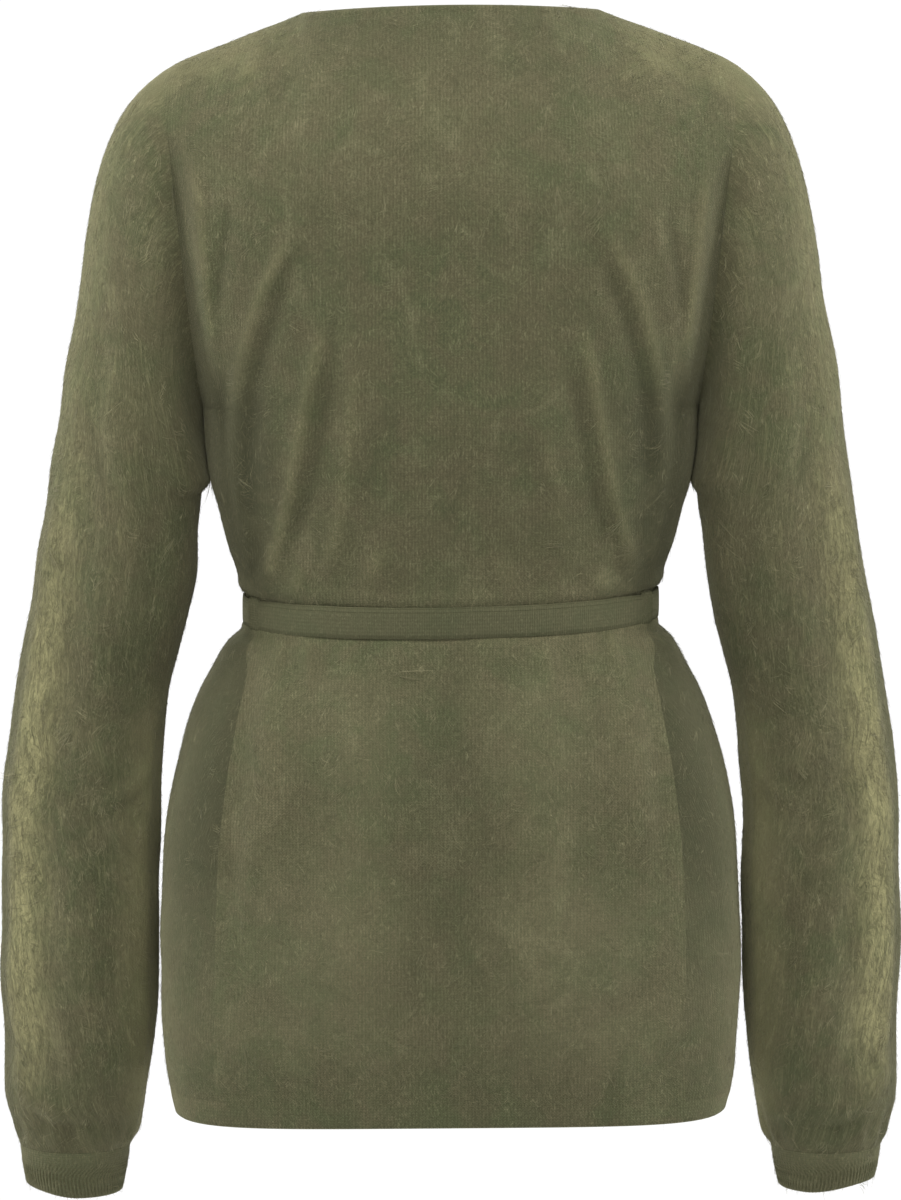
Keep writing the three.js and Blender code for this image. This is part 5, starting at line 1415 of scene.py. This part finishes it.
def dense_back(p, rows_n, cols_n):
    """Less nap in the middle of the back, more at the sides, shoulders and below the belt."""
    x, z = p[..., 0], p[..., 2]
    middle = np.exp(-((x / 78) ** 2) - (((z + 250) / 120) ** 2))
    return (1 - 0.80 * middle) * (0.85 + 0.35 * soft((-390 - z) / 120)) * clear_of_belt(z) * clear_of_tip(p)


def dense_front(p, rows_n, cols_n):
    return clear_of_belt(p[..., 2]) * clear_of_tip(p)


def dense_sleeve(p, rows_n, cols_n):
    """More along the arm's pressed line."""
    turn = np.abs(np.linspace(-1, 1, cols_n))[None, :]
    elbow = np.exp(-(((p[..., 2] + 455) / 34) ** 2)) * np.exp(-(((turn - 0.5) / 0.2) ** 2))
    tip = 1 - 0.93 * soft((206 - np.abs(p[..., 0])) / 14) * soft((p[..., 2] + 84) / 24)
    return (0.75 + 0.9 * np.exp(-(((turn - 0.27) / 0.12) ** 2)) * soft((-250 - p[..., 2]) / 100) + 0.9 * elbow) * tip


nap("nap_back", back, back_n, False, 52000, 13500, 6000, 900, 11, dense_back, swing=1.25)
nap("nap_front_left", front_l, front_l_n, False, 26000, 6500, 2600, 300, 12, dense_front)
nap("nap_front_right", front_r, front_r_n, False, 26000, 6500, 2600, 300, 13, dense_front)
for word, seed in (("left", 14), ("right", 15)):
    p, n = sleeves[word]
    nap("nap_sleeve_" + word, p, n, True, 38000, 11500, 6000, 950, seed, dense_sleeve, size=4.6, pale=0.80)
    p, n = cuffs[word]
    nap("nap_cuff_" + word, p, n, True, 2600, 900, 120, 10, seed + 40, None, size=2.6)


# ---------------------------------------------------------------- area of a grid
def flat_area(p, wrap=False):
    q = np.concatenate([p, p[:, :1]], 1) if wrap else p
    a, b, c, d = q[:-1, :-1], q[:-1, 1:], q[1:, 1:], q[1:, :-1]
    return float((0.5 * (np.linalg.norm(np.cross(b - a, d - a), axis=-1) + np.linalg.norm(np.cross(b - c, d - c), axis=-1))).sum()) * 1e-6


# --------------------------------------------------------- floor and lights
floor_t = Tree("pale_floor")
fn = floor_t.noise(floor_t.add("ShaderNodeTexCoord").outputs["Object"], 3.0, 2.0)
floor_t.link(floor_t.mix(floor_t.span(fn, 0.3, 0.7, 0.0, 0.3), (0.86, 0.86, 0.85, 1), (0.80, 0.80, 0.79, 1)), floor_t.bsdf.inputs["Base Color"])
floor_t.bsdf.inputs["Roughness"].default_value = 0.8
bpy.ops.mesh.primitive_circle_add(vertices=128, radius=2.6, fill_type="NGON", location=(0, 0, -1.45))
floor = bpy.context.object
floor.name = "floor"
floor.data.materials.append(floor_t.mat)


def area_light(name, place, target, wide, high, power, colour=(1, 1, 1)):
    data = bpy.data.lights.new(name, "AREA")
    data.shape = "RECTANGLE"
    data.size, data.size_y = wide, high
    data.energy = power
    data.color = colour
    ob = bpy.data.objects.new(name, data)
    bpy.context.scene.collection.objects.link(ob)
    ob.location = place
    from mathutils import Vector
    ob.rotation_euler = (Vector(target) - Vector(place)).to_track_quat("-Z", "Y").to_euler()
    ob.visible_camera = False
    return ob


area_light("top_light", (0, 1.0, 1.7), (0, 0.05, -0.3), 2.2, 1.4, 44, (1.0, 0.985, 0.95))
area_light("left_light", (2.1, -0.10, -0.15), (0.15, 0, -0.40), 0.5, 1.8, 21.5, (1.0, 0.985, 0.945))
area_light("right_light", (-2.1, -0.10, -0.15), (-0.15, 0, -0.40), 0.5, 1.8, 21.5, (1.0, 0.985, 0.945))
area_light("near_light", (0.3, 3.6, 0.9), (0, 0, -0.4), 1.2, 1.2, 34)
area_light("far_light", (0.4, -3.2, 0.8), (0, 0, -0.35), 1.8, 1.8, 30)

world = bpy.data.worlds.new("studio")
bpy.context.scene.world = world
world.use_nodes = True
wt = world.node_tree
wt.nodes.clear()
wo = wt.nodes.new("ShaderNodeOutputWorld")
wb = wt.nodes.new("ShaderNodeBackground")
ws = wt.nodes.new("ShaderNodeBackground")
wm = wt.nodes.new("ShaderNodeMixShader")
lp = wt.nodes.new("ShaderNodeLightPath")
wb.inputs[0].default_value = (1, 1, 1, 1)
wb.inputs[1].default_value = 0.34
ws.inputs[0].default_value = (1, 1, 1, 1)
ws.inputs[1].default_value = 1.05
wt.links.new(lp.outputs["Is Camera Ray"], wm.inputs[0])
wt.links.new(wb.outputs[0], wm.inputs[1])
wt.links.new(ws.outputs[0], wm.inputs[2])
wt.links.new(wm.outputs[0], wo.inputs[0])
bpy.context.scene.view_settings.view_transform = "Standard"
bpy.context.scene.view_settings.look = "None"
